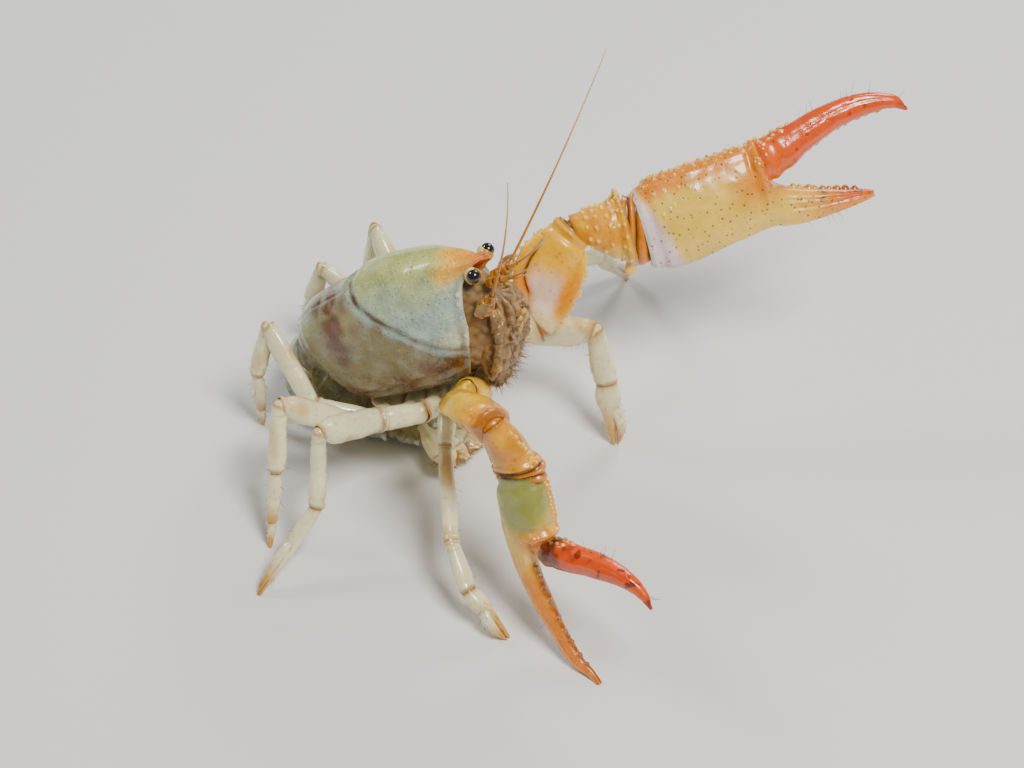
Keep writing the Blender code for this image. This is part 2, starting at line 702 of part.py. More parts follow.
def palm_rows(side, wrist, axis, up, thick):
    """Tubercles along the upper and lower edges of a hand, and teeth along its fixed finger."""
    size = ARM_SCALE[side]
    length = HAND_STATIONS[side][5 if side == LEFT else 4][0]
    rows = []
    for turn, count in ((0.0, 10), (22.0, 8), (-22.0, 8)):
        outward = up * math.cos(math.radians(turn)) + thick * math.sin(math.radians(turn))
        rows.append((wrist + axis * 0.9, wrist + axis * (length - 0.5), count, outward, 0.42 * size, 0.42 * size))
    rows.append((wrist + axis * 1.5, wrist + axis * (length - 1.0), 8, -up, 0.34 * size, 0.25 * size))
    finger = HAND_STATIONS[side][7:-1]
    first = wrist + axis * finger[0][0] + up * finger[0][1]
    last = wrist + axis * finger[-1][0] + up * finger[-1][1]
    rows.append((first, last, 6, up, 0.42 * size, 0.5 * size))
    return rows


def dactyl_rows(side, route, thick):
    """Teeth on the inner edge of the movable finger, and tubercles at its base."""
    size = ARM_SCALE[side]
    along = (route[-2] - route[1]).normalized()
    outer = along.cross(thick)
    if outer.dot(direction(*HAND_UP[side])) < 0.0:
        outer = -outer
    if side == RIGHT:
        outer = -direction(*HAND_AXIS[side])
    return [
        (route[2], route[-3], 5, -outer, 0.4 * size, 0.45 * size),
        (route[1], route[3], 4, outer, 0.36 * size, 0.36 * size),
    ]


def build_claw(side, parts):
    joints = arm_joints(side)
    size = ARM_SCALE[side]
    label = SIDE_NAMES[side]
    bulge = MERUS_BULGE[side]
    wide = MERUS_WIDTH[side] * size
    flat = direction(*ARM_FLAT_SIDE[side])
    wrist, axis, up, thick = hand_frame(side, joints[4])
    planes = [BODY_LEFT * side] + [mitre(joints, index) for index in range(1, 4)]
    half = GAP / 2
    root = stretch_rings(joints[0], joints[1], planes[0], planes[1],
                         ((0.0, 1.2, 1.3), (1.0, 1.2, 1.35)), flat, 12, (0, 0))
    root += stretch_rings(joints[1], joints[2], None, planes[2],
                          ((0.5, 1.15, 1.4), (1.0, 1.2 * size, 1.5 * size)), flat, 12, (0, half))
    make_object(f"claw_{label}_ischium", loft(root), "claw", parts)
    merus = stretch_rings(joints[2], joints[3], planes[2], planes[3],
                          ((0.0, 1.2 * size, 1.5 * size), (0.22, 1.7 * size, 2.7 * wide, 0.5 * bulge),
                           (0.45, 1.9 * size, 3.5 * wide, bulge), (0.68, 1.9 * size, 3.3 * wide, 0.8 * bulge),
                           (1.0, 1.4 * size, 1.5 * size)),
                          flat, CLAW_SIDES, (half, half))
    node = make_object(f"claw_{label}_merus", loft(merus), "claw", parts)
    studded(node, merus_rows(joints, flat, size), 11 + side)
    carpus = stretch_rings(joints[3], joints[4], planes[3], None,
                           ((0.0, 1.4 * size, 1.4 * size), (0.45, 2.1 * size, 2.4 * size),
                            (0.75, 2.3 * size, 3.5 * size)),
                           thick, CLAW_SIDES, (half, 0))
    carpus.append(ring(wrist - axis * 0.1, thick, -up, 1.9 * size, 3.8 * size, CLAW_SIDES))
    node = make_object(f"claw_{label}_carpus", loft(carpus), "claw", parts)
    studded(node, carpus_rows(joints, up, thick, size), 21 + side)
    palm = []
    before = None
    for step, (along, centre, high, depth) in enumerate(HAND_STATIONS[side]):
        place = wrist + axis * along + up * centre
        lean = 0.0
        if step > FIXED_FINGER_FROM[side]:
            lean = (place - before).angle(axis) * math.copysign(1.0, (place - before).dot(up))
        palm.append(ring(place, thick, Matrix.Rotation(lean, 3, thick) @ up, depth, high, CLAW_SIDES, 2.3))
        before = place
    if side == RIGHT:
        palm.append(ring(RIGHT_CLAW_REST, thick, up, FOOT_FLAT, FOOT_FLAT, CLAW_SIDES))
        palm[-1] = onto_plane(palm[-1], axis, RIGHT_CLAW_REST, Vector((0.0, 0.0, 1.0)))
    node = make_object(f"claw_{label}_palm", loft(palm), "palm", parts)
    studded(node, palm_rows(side, wrist, axis, up, thick), 31 + side)
    route = [wrist + axis * along + up * centre for along, centre, _, _ in FINGER_STATIONS[side]]
    sections = [(depth, high) for _, _, high, depth in FINGER_STATIONS[side]]
    node = tube(f"claw_{label}_dactyl", route, thick, sections, "finger", parts, 12)
    studded(node, dactyl_rows(side, route, thick), 41 + side)


# Abdomen, curled down and forward beneath the thorax
CURL_START = 180.0 + BODY_PITCH
CURL_END = 360.0
ABDOMEN_START = (-0.3, 1.0)
ABDOMEN_HALF_WIDTH = ((0.0, 3.3), (6.0, 3.9), (12.0, 3.8), (20.0, 3.1))
ABDOMEN_HALF_HEIGHT = ((0.0, 2.2), (6.0, 2.3), (12.0, 2.0), (20.0, 1.45))
ABDOMEN_FLOOR_CLEARANCE = 0.1


def abdomen_axis():
    """Point and direction of the abdomen's middle line at each distance along it."""
    start = on_body(ABDOMEN_START[0], 0.0, ABDOMEN_START[1])
    lying = smooth(ABDOMEN_HALF_HEIGHT, 13.0) + ABDOMEN_FLOOR_CLEARANCE
    turn = math.radians(CURL_END - CURL_START)
    drop_per_radius = 1.0 - math.cos(math.radians(CURL_START))
    radius = (start.z - lying) / drop_per_radius
    curl = radius * turn

    def at(distance):
        angle = math.radians(CURL_START) + min(distance, curl) / radius
        centre = start + radius * Vector((
            math.sin(angle) - math.sin(math.radians(CURL_START)), 0.0,
            math.cos(math.radians(CURL_START)) - math.cos(angle),
        ))
        along = Vector((math.cos(angle), 0.0, math.sin(angle)))
        if distance > curl:
            centre = centre + along * (distance - curl)
        return centre, along

    return at


def settle(points):
    """Keep points from sinking below the floor."""
    return [Vector((point.x, point.y, max(point.z, 0.0))) for point in points]


def build_abdomen(parts):
    at = abdomen_axis()
    begin = 0.0
    for number, length in enumerate(ABDOMEN_LENGTHS, 1):
        rings = []
        for distance in spread(begin + GAP / 2, begin + length - GAP / 2, 5):
            share = (distance - begin) / length
            swell = 0.93 + 0.09 * math.sin(math.pi * min(share * 1.25, 1.0) * 0.5)
            centre, along = at(distance)
            outward = along.cross(BODY_LEFT)
            rings.append(settle(ring(
                centre, BODY_LEFT, outward, smooth(ABDOMEN_HALF_WIDTH, distance) * swell,
                smooth(ABDOMEN_HALF_HEIGHT, distance) * swell, 16, 2.2,
                smooth(ABDOMEN_HALF_HEIGHT, distance) * 0.85,
            )))
        make_object(f"abdomen_{number}", loft(rings), "abdomen", parts)
        begin += length
    build_tail_fan(begin, at, parts)


TAIL_BLADES = (
    ("uropod_inner", 1.2, 18.0, 5.2, 1.35, 1.15),
    ("uropod_outer", 1.9, 38.0, 5.4, 1.45, 2.3),
)


def blade(name, root, heading, length, half_width, lift, parts):
    """A flat rounded tail blade that lies on the floor, or on the blade below it."""
    along = direction(heading, 0.0)
    across = along.cross(Vector((0.0, 0.0, 1.0)))
    rings = []
    for share, wide, thick in ((0.0, 0.45, 0.4), (0.25, 0.8, 0.42), (0.6, 1.0, 0.4), (0.85, 0.8, 0.34), (1.0, 0.35, 0.27)):
        centre = root + along * (length * share) + Vector((0.0, 0.0, lift + thick))
        rings.append(ring(centre, across, Vector((0.0, 0.0, 1.0)), half_width * wide, thick, 12, 2.4))
    make_object(name, loft(rings), "abdomen", parts)


def build_tail_fan(begin, at, parts):
    end, _ = at(begin + GAP)
    root = Vector((end.x, end.y, 0.0))
    blade("telson", root, 0.0, TELSON_LENGTH, 1.55, 0.0, parts)
    for side in (LEFT, RIGHT):
        for label, aside, heading, length, half_width, lift in TAIL_BLADES:
            place = root + Vector((0.0, aside * side, 0.0))
            blade(f"{label}_{SIDE_NAMES[side]}", place, heading * side, length, half_width, lift, parts)


def clear_scene():
    for item in list(bpy.data.objects):
        bpy.data.objects.remove(item, do_unlink=True)


def main():
    clear_scene()
    parts = bpy.data.collections.new("tubercle_burrowing_crayfish")
    cutters = bpy.data.collections.new("cutters")
    bpy.context.scene.collection.children.link(parts)
    bpy.context.scene.collection.children.link(cutters)
    build_carapace(parts, cutters)
    build_eyes(parts)
    build_sternum(parts)
    build_mouth(parts)
    build_mouth_limbs(parts)
    build_feelers(parts)
    for side in (LEFT, RIGHT):
        build_claw(side, parts)
        for pair in (2, 3, 4, 5):
            build_leg(side, pair, parts)
    build_abdomen(parts)


main()
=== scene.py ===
"""Dressed model of a tubercle burrowing crayfish, reared up with both claws open.

Lengths are in millimetres and angles in degrees until a mesh is made, where MM turns them into
metres. +X is the animal's heading, +Y its left side, +Z is up, and the floor is Z = 0.
"""
import math
import random

import bmesh
import bpy
import numpy as np
from bpy.props import FloatProperty, FloatVectorProperty, IntProperty, PointerProperty
from mathutils import Matrix, Vector, noise


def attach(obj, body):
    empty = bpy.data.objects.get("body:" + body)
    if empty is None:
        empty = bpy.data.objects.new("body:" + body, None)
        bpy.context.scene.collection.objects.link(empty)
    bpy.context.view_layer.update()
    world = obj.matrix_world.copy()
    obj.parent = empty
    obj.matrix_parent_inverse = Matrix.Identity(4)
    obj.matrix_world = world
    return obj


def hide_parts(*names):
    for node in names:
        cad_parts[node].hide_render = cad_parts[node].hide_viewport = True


bl_info = {
    "name": "Tubercle burrowing crayfish",
    "version": (1, 0, 0),
    "blender": (4, 5, 0),
    "location": "View3D > Sidebar > Crayfish",
    "description": "Builds the shell, limbs, finishes and studio of a life-size burrowing crayfish",
    "category": "Add Mesh",
}

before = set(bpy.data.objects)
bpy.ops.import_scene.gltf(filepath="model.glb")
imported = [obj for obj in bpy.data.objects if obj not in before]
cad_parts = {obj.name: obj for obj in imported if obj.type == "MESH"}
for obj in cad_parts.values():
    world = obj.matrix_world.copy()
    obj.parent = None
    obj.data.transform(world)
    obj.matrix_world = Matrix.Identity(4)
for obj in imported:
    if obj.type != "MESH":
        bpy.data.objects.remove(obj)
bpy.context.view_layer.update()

MM = 0.001
CURVE_SAMPLES = 600
NOISE_GAIN = 1.6

# Sizes shared with the solids
BODY_PITCH = 40.0
BODY_POINT = Vector((-21.88, -3.5, 9.0))
GAP = 0.3
FOOT_FLAT = 0.28
LEFT = 1
RIGHT = -1
SIDE_NAMES = {LEFT: "left", RIGHT: "right"}
UP = Vector((0.0, 0.0, 1.0))

# Turns round a section, in degrees from its across direction towards its up direction
TOP = 90.0
BOTTOM = 270.0

# Profiles of the carapace, as (distance from its rear edge, value)
DORSAL = ((0.0, 4.4), (1.5, 5.8), (4.0, 6.7), (10.0, 7.35), (15.0, 7.65), (20.0, 6.7), (24.0, 5.1), (27.0, 3.7))
VENTRAL = ((0.0, -2.0), (1.5, -4.9), (4.0, -6.8), (10.0, -7.7), (15.0, -7.8), (20.0, -7.0), (24.0, -4.6), (27.0, 2.4))
HALF_WIDTH = ((0.0, 2.7), (1.5, 3.8), (4.0, 4.7), (10.0, 5.2), (15.0, 5.3), (20.0, 4.5), (24.0, 2.3), (27.0, 0.45))
SHELL_POWER = 2.25
# Share of the shell's height between its back and its widest level
SHELL_MIDDLE = 0.52

# Side view of the cervical groove, as (forward, up), and of the shell's front edge, as
# (degrees round from the middle of the back, forward)
GROOVE = ((9.9, 10.0), (10.1, 7.7), (10.9, 6.9), (12.0, 5.7), (13.4, 4.2), (15.2, 2.2), (16.4, 0.5), (17.8, -1.2),
          (19.6, -2.6), (22.0, -3.6), (24.0, -4.2))
FRONT_EDGE = ((0.0, 27.0), (18.0, 26.6), (32.0, 25.4), (45.0, 24.3), (55.0, 23.6), (75.0, 22.6), (95.0, 21.5),
              (115.0, 19.8), (135.0, 17.9), (155.0, 16.3), (180.0, 15.9))
THORAX_STEP = 0.22

# Camera: heading and rise from which it looks, its distance and target, and its lens
CAMERA_AZIMUTH = 19.5
CAMERA_ELEVATION = 48.0
CAMERA_DISTANCE = 256.2
CAMERA_TARGET = Vector((-1.26, -3.97, 12.0))
CAMERA_LENS = 87.9
FLOOR_DROP = 0.00002


def linear(code):
    """Linear colour of an sRGB hex code."""
    values = [int(code[place:place + 2], 16) / 255.0 for place in (1, 3, 5)]
    return tuple(value / 12.92 if value <= 0.04045 else ((value + 0.055) / 1.055) ** 2.4 for value in values)


def direction(heading, rise):
    """Unit vector from a heading (0 is forward, 90 is left) and a rise above the level."""
    flat = math.cos(math.radians(rise))
    return Vector((
        flat * math.cos(math.radians(heading)), flat * math.sin(math.radians(heading)), math.sin(math.radians(rise)),
    ))


BODY_AXIS = direction(0.0, BODY_PITCH)
BODY_LEFT = Vector((0.0, 1.0, 0.0))
BODY_UP = BODY_AXIS.cross(BODY_LEFT)


def on_body(forward, left, up):
    """A point given on the body: forward of the carapace's rear edge, left and up of its axis."""
    return BODY_POINT + BODY_AXIS * forward + BODY_LEFT * left + BODY_UP * up


def smooth(points, at):
    """Value of a smooth curve through (position, value) points."""
    last = len(points) - 1
    index = 0
    while index < last - 1 and at > points[index + 1][0]:
        index += 1
    before = points[max(index - 1, 0)]
    start = points[index]
    end = points[index + 1]
    after = points[min(index + 2, last)]
    span = end[0] - start[0]
    share = min(max((at - start[0]) / span, 0.0), 1.0)
    start_slope = (end[1] - before[1]) / (end[0] - before[0]) * span
    end_slope = (after[1] - start[1]) / (after[0] - start[0]) * span
    square = share * share
    cube = square * share
    return (
        (2 * cube - 3 * square + 1) * start[1] + (cube - 2 * square + share) * start_slope
        + (3 * square - 2 * cube) * end[1] + (cube - square) * end_slope
    )


def curve(points, places):
    """Values of the smooth curve at an array of positions."""
    fine = np.linspace(points[0][0], points[-1][0], CURVE_SAMPLES)
    return np.interp(places, fine, [smooth(points, place) for place in fine])


def curves(places, stations, at):
    """Smooth curves through each column of a list of stations, which stand at the given places."""
    return [curve(list(zip(places, column)), at) for column in zip(*stations)]


def step_up(values, low, high):
    """Smooth rise from 0 at low to 1 at high."""
    share = np.clip((values - low) / (high - low), 0.0, 1.0)
    return share * share * (3.0 - 2.0 * share)


def spot(values, centre, reach):
    """Soft hump of 1 at a centre, fading over a reach."""
    return np.exp(-((values - centre) / reach) ** 2)


def clouds(points, size, seed=0.0):
    """Soft noise between about -1 and 1, with humps of a size in millimetres."""
    flat = points.reshape(-1, 3) / size + seed
    made = np.array([noise.noise(place) for place in flat.tolist()])
    return made.reshape(points.shape[:-1]) * NOISE_GAIN


def line_distance(places, line):
    """Distance of (a, b) places from a line of points, positive on its left-hand side."""
    best = np.full(places.shape[0], 1e9)
    side = np.ones(places.shape[0])
    for start, end in zip(line, line[1:]):
        start = np.array(start, dtype=float)
        along = np.array(end, dtype=float) - start
        apart = places - start
        share = np.clip((apart @ along) / (along @ along), 0.0, 1.0)
        gap = apart - share[:, None] * along
        length = np.sqrt((gap ** 2).sum(axis=1))
        nearer = length < best
        best = np.where(nearer, length, best)
        side = np.where(nearer, np.sign(along[0] * apart[:, 1] - along[1] * apart[:, 0]), side)
    return best * side


def rounded(centres, across, up, wide, high, sides, power=2.0, low=None):
    """Rows of points of rounded sections; low sets a different depth below their centres."""
    angle = np.arange(sides) * 2.0 * math.pi / sides
    cosine = np.cos(angle)
    sine = np.sin(angle)
    sideways = np.sign(cosine) * np.abs(cosine) ** (2.0 / power)
    upwards = np.sign(sine) * np.abs(sine) ** (2.0 / power)
    rows = len(centres)
    across = np.broadcast_to(np.array(across, dtype=float), (rows, 3))
    up = np.broadcast_to(np.array(up, dtype=float), (rows, 3))
    wide = np.asarray(wide, dtype=float)[:, None]
    high = np.asarray(high, dtype=float)[:, None]
    low = high if low is None else np.asarray(low, dtype=float)[:, None]
    reach = np.where(sine[None, :] > 0.0, high, low)
    return (
        np.array(centres, dtype=float)[:, None, :] + across[:, None, :] * (wide * sideways)[:, :, None]
        + up[:, None, :] * (reach * upwards)[:, :, None]
    )


class Skin:
    """Closed rows of points round a body part, with painted layers for its finish."""

    def __init__(self, points, along):
        self.points = points
        self.along = np.array(along, dtype=float)
        self.turn = np.arange(points.shape[1]) * 360.0 / points.shape[1]
        self.layers = {}

    @property
    def row_places(self):
        """Place along the skin of each point, in the units that it was made with."""
        return np.broadcast_to(self.along[:, None], self.points.shape[:2])

    @property
    def turns(self):
        """Turn round the section of each point."""
        return np.broadcast_to(self.turn[None, :], self.points.shape[:2])

    def turned_from(self, turn):
        """Degrees between each point's place round the section and a given one."""
        return np.abs((self.turns - turn + 180.0) % 360.0 - 180.0)

    @property
    def shares(self):
        """Share of the skin's length at each point."""
        return self.row_places / self.along[-1]

    def stripe(self, turn, reach, apart=0.0):
        """Soft stripe lengthways, at a turn and a number of degrees apart from it on both sides."""
        return spot(self.turned_from(turn), apart, reach)

    def ring(self, along, reach):
        """Soft ring round the skin at a place along it."""
        return spot(self.row_places, along, reach)

    def clouds(self, size, seed=0.0):
        """Soft noise at each point."""
        return clouds(self.points, size, seed)

    def stand(self):
        """Lift what reaches below the floor onto it."""
        self.points[..., 2] = np.maximum(self.points[..., 2], 0.0)

    @property
    def radius(self):
        """Distance of each point from the middle of its section."""
        return np.linalg.norm(self.points - self.points.mean(axis=1, keepdims=True), axis=2)

    def normals(self):
        """Outward directions of the points."""
        lengthways = np.gradient(self.points, axis=0)
        round_about = np.roll(self.points, -1, 1) - np.roll(self.points, 1, 1)
        outward = np.cross(round_about, lengthways)
        outward /= np.linalg.norm(outward, axis=2, keepdims=True) + 1e-9
        apart = self.points - self.points.mean(axis=1, keepdims=True)
        return outward if (apart * outward).sum() > 0.0 else -outward

    def push(self, amount):
        """Move every point outward by its own amount."""
        self.points = self.points + self.normals() * amount[..., None]

    def paint(self, layer, amount):
        """Keep the stronger of a layer's old and new amounts."""
        amount = np.clip(np.broadcast_to(amount, self.points.shape[:2]), 0.0, 1.0)
        self.layers[layer] = np.maximum(self.layers.get(layer, 0.0), amount)

    def at(self, along, turn):
        """Point of the skin at a place along it and a turn round it."""
        row = np.interp(along, self.along, np.arange(len(self.along)))
        low = min(int(row), len(self.along) - 2)
        side = (turn % 360.0) / 360.0 * len(self.turn)
        left = int(side) % len(self.turn)
        right = (left + 1) % len(self.turn)
        across = side - int(side)
        near = self.points[low, left] * (1 - across) + self.points[low, right] * across
        far = self.points[low + 1, left] * (1 - across) + self.points[low + 1, right] * across
        return near + (far - near) * (row - low)

    def domes(self, places, radius, height, layer="knob", sharp=1.3):
        """Raise tubercles at (along, turn, size) places and paint their tops."""
        lift = np.zeros(self.points.shape[:2])
        tops = np.zeros(self.points.shape[:2])
        for along, turn, size in places:
            apart = np.linalg.norm(self.points - self.at(along, turn), axis=2) / (radius * size)
            hump = np.clip(1.0 - apart ** 2, 0.0, 1.0) ** sharp
            lift = np.maximum(lift, hump * height * size)
            tops = np.maximum(tops, np.clip(1.35 * hump, 0.0, 1.0))
        self.push(lift)
        if layer:
            self.paint(layer, tops)

    def extend(self, last, rows):
        """Add rows beyond an end, painted like that end."""
        steps = 1e-4 * np.arange(1, len(rows) + 1)
        if last:
            self.points = np.concatenate([self.points, rows])
            self.along = np.concatenate([self.along, self.along[-1] + steps])
        else:
            self.points = np.concatenate([rows[::-1], self.points])
            self.along = np.concatenate([self.along[0] - steps[::-1], self.along])
        for name, amount in self.layers.items():
            rim = np.repeat(amount[-1:] if last else amount[:1], len(rows), axis=0)
            self.layers[name] = np.concatenate([amount, rim] if last else [rim, amount])

    def finish_end(self, last, steps):
        """Roll an end inward by (scale, outward shift) steps."""
        ring = self.points[-1 if last else 0]
        centre = ring.mean(axis=0)
        outward = centre - self.points[-2 if last else 1].mean(axis=0)
        outward /= np.linalg.norm(outward) + 1e-9
        self.extend(last, np.array([centre + (ring - centre) * scale + outward * shift for scale, shift in steps]))


SOCKET_END = ((1.0, 0.06), (0.975, 0.12), (0.93, 0.13), (0.88, 0.06), (0.84, -0.1), (0.78, -0.45))
DOME_END = ((0.97, 0.1), (0.9, 0.2), (0.78, 0.3), (0.6, 0.37), (0.38, 0.41), (0.15, 0.43))


def close_ends(skin, first=SOCKET_END, last=SOCKET_END):
    """Roll in both ends of a skin."""
    skin.finish_end(False, first)
    skin.finish_end(True, last)
    return skin


def skins_to_mesh(name, skins):
    """One mesh of several skins, with their layers as point attributes."""
    places = []
    quads = []
    fans = []
    layers = {layer: [] for skin in skins for layer in skin.layers}
    begin = 0
    for skin in skins:
        rows, sides = skin.points.shape[:2]
        grid = np.arange(rows * sides).reshape(rows, sides) + begin
        after = np.roll(grid, -1, 1)
        quads.append(np.stack([grid[:-1], after[:-1], after[1:], grid[1:]], axis=2).reshape(-1, 4))
        start_pole = begin + rows * sides
        end_pole = start_pole + 1
        fans.append(np.stack([after[0], grid[0], np.full(sides, start_pole)], axis=1))
        fans.append(np.stack([grid[-1], after[-1], np.full(sides, end_pole)], axis=1))
        poles = np.array([skin.points[0].mean(axis=0), skin.points[-1].mean(axis=0)])
        places.append(np.concatenate([skin.points.reshape(-1, 3), poles]))
        for layer, amounts in layers.items():
            amount = skin.layers.get(layer, np.zeros((rows, sides)))
            amounts.append(np.concatenate([amount.ravel(), [amount[0].mean(), amount[-1].mean()]]))
        begin = end_pole + 1
    data = bpy.data.meshes.new(name)
    faces = np.concatenate(quads).tolist() + np.concatenate(fans).tolist()
    places = np.concatenate(places)
    places[:, 2] = np.maximum(places[:, 2], 0.0)
    data.from_pydata((places * MM).tolist(), [], faces)
    for layer, amounts in layers.items():
        attribute = data.attributes.new(layer, "FLOAT", "POINT")
        attribute.data.foreach_set("value", np.concatenate(amounts).astype(np.float32))
    return data


def turn_outward(data):
    """Make every closed surface of a mesh face outward."""
    mesh = bmesh.new()
    mesh.from_mesh(data)
    bmesh.ops.recalc_face_normals(mesh, faces=mesh.faces)
    mesh.to_mesh(data)
    mesh.free()


def placed(name, data):
    """New object in the scene."""
    item = bpy.data.objects.new(name, data)
    bpy.context.scene.collection.objects.link(item)
    return item


def place_piece(name, data, finish, replaced=()):
    """Place a mesh, in one of the finishes, as a piece of the model that rides on the body."""
    data.shade_smooth()
    turn_outward(data)
    data.materials.append(finish_of(finish))
    piece = placed(name, data)
    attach(piece, "root")
    if replaced:
        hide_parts(*replaced)


def make_piece(name, skins, finish, replaced=()):
    """Turn one skin or several into a piece."""
    skins = skins if isinstance(skins, list) else [skins]
    place_piece(name, skins_to_mesh(name, skins), finish, replaced)


def plug(tree, node, inputs):
    """Link a node's inputs to the sockets given, and set the others to the values given."""
    for name, value in inputs.items():
        if isinstance(value, bpy.types.NodeSocket):
            tree.links.new(value, node.inputs[name])
        else:
            node.inputs[name].default_value = value


def add(tree, kind, inputs=None, **settings):
    """Add a node with its settings and inputs."""
    made = tree.nodes.new(kind)
    for setting, value in settings.items():
        setattr(made, setting, value)
    plug(tree, made, inputs or {})
    return made


def work_out(tree, operation, *terms, clamp=False):
    """Result of a Math node."""
    return add(tree, "ShaderNodeMath", dict(enumerate(terms)), operation=operation, use_clamp=clamp).outputs[0]


def ranged(tree, source, low, high, at_low, at_high):
    """The range of a source from low to high, mapped to another."""
    return add(tree, "ShaderNodeMapRange", {0: source, 1: low, 2: high, 3: at_low, 4: at_high}).outputs[0]


def mixed(tree, factor, colour, other):
    """Two colours mixed by a factor; 0, 6, 7 and 2 are the Mix node's sockets for colours."""
    return add(tree, "ShaderNodeMix", {0: factor, 6: colour, 7: other}, data_type="RGBA").outputs[2]


def blank_material(name):
    """New material, with its nodes and the object's own coordinates."""
    made = bpy.data.materials.new(name)
    made.use_nodes = True
    tree = made.node_tree
    return made, tree, add(tree, "ShaderNodeTexCoord").outputs["Object"]


def shell_finish(name, base, layers, mottle=0.1, pits=None, gloss=(0.16, 0.34), soft=0.2, coat=0.5, grain=0.5,
                 granules_and_glints=0.0):
    """Wet cuticle: a base colour, painted layers of (attribute, colour, raggedness), mottling, pits and granules with
    painted glints.
    """
    existing = bpy.data.materials.get(name)
    if existing:
        return existing
    made, tree, place = blank_material(name)
    grid = add(tree, "ShaderNodeMapping", {"Vector": place, "Scale": (1.0 / MM,) * 3}).outputs["Vector"]
    broad = add(tree, "ShaderNodeTexNoise", {"Vector": grid, "Scale": 0.45, "Detail": 4.0, "Roughness": 0.6})
    fine = add(tree, "ShaderNodeTexNoise", {"Vector": grid, "Scale": 2.6, "Detail": 5.0, "Roughness": 0.65})
    broad, fine = broad.outputs["Fac"], fine.outputs["Fac"]
    colour = (*base, 1.0)
    for layer, tint, ragged in layers:
        amount = add(tree, "ShaderNodeAttribute", attribute_name=layer, attribute_type="GEOMETRY").outputs["Fac"]
        torn = work_out(tree, "MULTIPLY", work_out(tree, "MULTIPLY_ADD", fine, ragged, -0.5 * ragged),
                        work_out(tree, "MULTIPLY", amount, 4.0, clamp=True))
        colour = mixed(tree, work_out(tree, "ADD", amount, torn, clamp=True), colour, (*tint, 1.0))
    strength = work_out(tree, "MULTIPLY", ranged(tree, broad, 0.3, 0.7, 1.0 - 1.4 * mottle, 1.0 + mottle),
                        ranged(tree, fine, 0.25, 0.75, 1.0 - 0.8 * mottle, 1.0 + 0.5 * mottle))
    height = fine
    if pits:
        spacing, depth = pits
        cells = add(tree, "ShaderNodeTexVoronoi", {"Vector": grid, "Scale": 1.0 / spacing, "Randomness": 0.85})
        dots = ranged(tree, cells.outputs["Distance"], 0.12, 0.25, 1.0, 0.0)
        strength = work_out(tree, "MULTIPLY", strength, work_out(tree, "MULTIPLY_ADD", dots, -depth, 1.0))
        height = work_out(tree, "MULTIPLY_ADD", dots, -0.9, height)
    # Granules: small bumps, with the base colour brightened at their centres as painted glints
    if granules_and_glints:
        cells = add(tree, "ShaderNodeTexVoronoi", {"Vector": grid, "Scale": 3.2})
        dots = ranged(tree, cells.outputs["Distance"], 0.1, 0.32, 1.0 + granules_and_glints, 1.0)
        strength = work_out(tree, "MULTIPLY", strength, dots)
        height = work_out(tree, "MULTIPLY_ADD", dots, 1.2, height)
    toned = add(tree, "ShaderNodeHueSaturation", {"Color": colour, "Value": strength})
    bump = add(tree, "ShaderNodeBump", {"Strength": grain, "Distance": GRAIN_HEIGHT, "Height": height})
    plug(tree, tree.nodes["Principled BSDF"], {
        "Base Color": toned.outputs["Color"], "Roughness": ranged(tree, broad, 0.3, 0.7, *gloss),
        "Normal": bump.outputs["Normal"], "IOR": CUTICLE_IOR, "Coat Weight": coat, "Coat Roughness": WATER_ROUGHNESS,
        "Subsurface Weight": soft, "Subsurface Scale": LIGHT_DEPTH, "Subsurface Radius": (1.0, 0.55, 0.3),
    })
    return made


def number_property(name, description, default, low, high, kind=FloatProperty):
    """A number of the panel, with its default and its limits."""
    return kind(name=name, description=description, default=default, min=low, max=high)


class CrayfishSizes(bpy.types.PropertyGroup):
    """Sizes that set how strongly the shell is worked, in millimetres."""
    groove_depth: number_property("Groove depth", "Depth of the groove behind the head, in mm", 0.34, 0.0, 1.0)
    shell_thickness: number_property("Shell thickness", "Thickness of the shell's free edges, in mm", 0.35, 0.1, 0.6)
    tubercle_height: number_property("Tubercle height", "Height of the claws' tubercles, in mm", 0.34, 0.0, 0.6)
    pit_spacing: number_property("Pit spacing", "Distance between the left claw's dark pits, in mm", 0.62, 0.3, 2.0)
    bristle_length: number_property("Bristle length", "Longest bristles round the mouth, in mm", 1.6, 0.2, 3.0)
    feeler_rings: number_property("Feeler rings", "Rings along each long feeler", 70, 10, 120, IntProperty)


def colour_property(name, description, code):
    """A colour of the panel, with its default as an sRGB code."""
    return FloatVectorProperty(name=name, description=description, subtype="COLOR", size=3, min=0.0, max=1.0,
                               default=linear(code))


class CrayfishColours(bpy.types.PropertyGroup):
    """Colours of the shell, the claws and the legs."""
    flank: colour_property("Flank", "Sides of the carapace", "#a6bbae")
    back: colour_property("Back", "Top of the carapace", "#c2c662")
    stain: colour_property("Stain", "Brown of the grooves and stains", "#4a2206")
    orange: colour_property("Orange", "Arms and edges of the claws", "#ea8400")
    cream: colour_property("Cream", "Middle of the large claw", "#f8cc4c")
    lilac: colour_property("Lilac", "Pale inner faces of the claws", "#eed3d6")
    red: colour_property("Red", "Movable fingers", "#e64600")
    knob: colour_property("Tubercle", "Tops of the tubercles", "#ffd63c")
    leg: colour_property("Leg", "Walking legs", "#f0e8b8")
    joint: colour_property("Joint", "Soft skin in the joints", "#b36a08")
    mouth: colour_property("Mouth", "Muddy mouthparts", "#a07c4a")
    feeler: colour_property("Feeler", "Feelers and their scales", "#c47e0c")
    floor: colour_property("Floor", "Floor of the studio", "#e6e4df")


def chosen():
    """The sizes and colours set in the panel."""
    scene = bpy.context.scene
    return scene.crayfish_sizes, scene.crayfish_colours


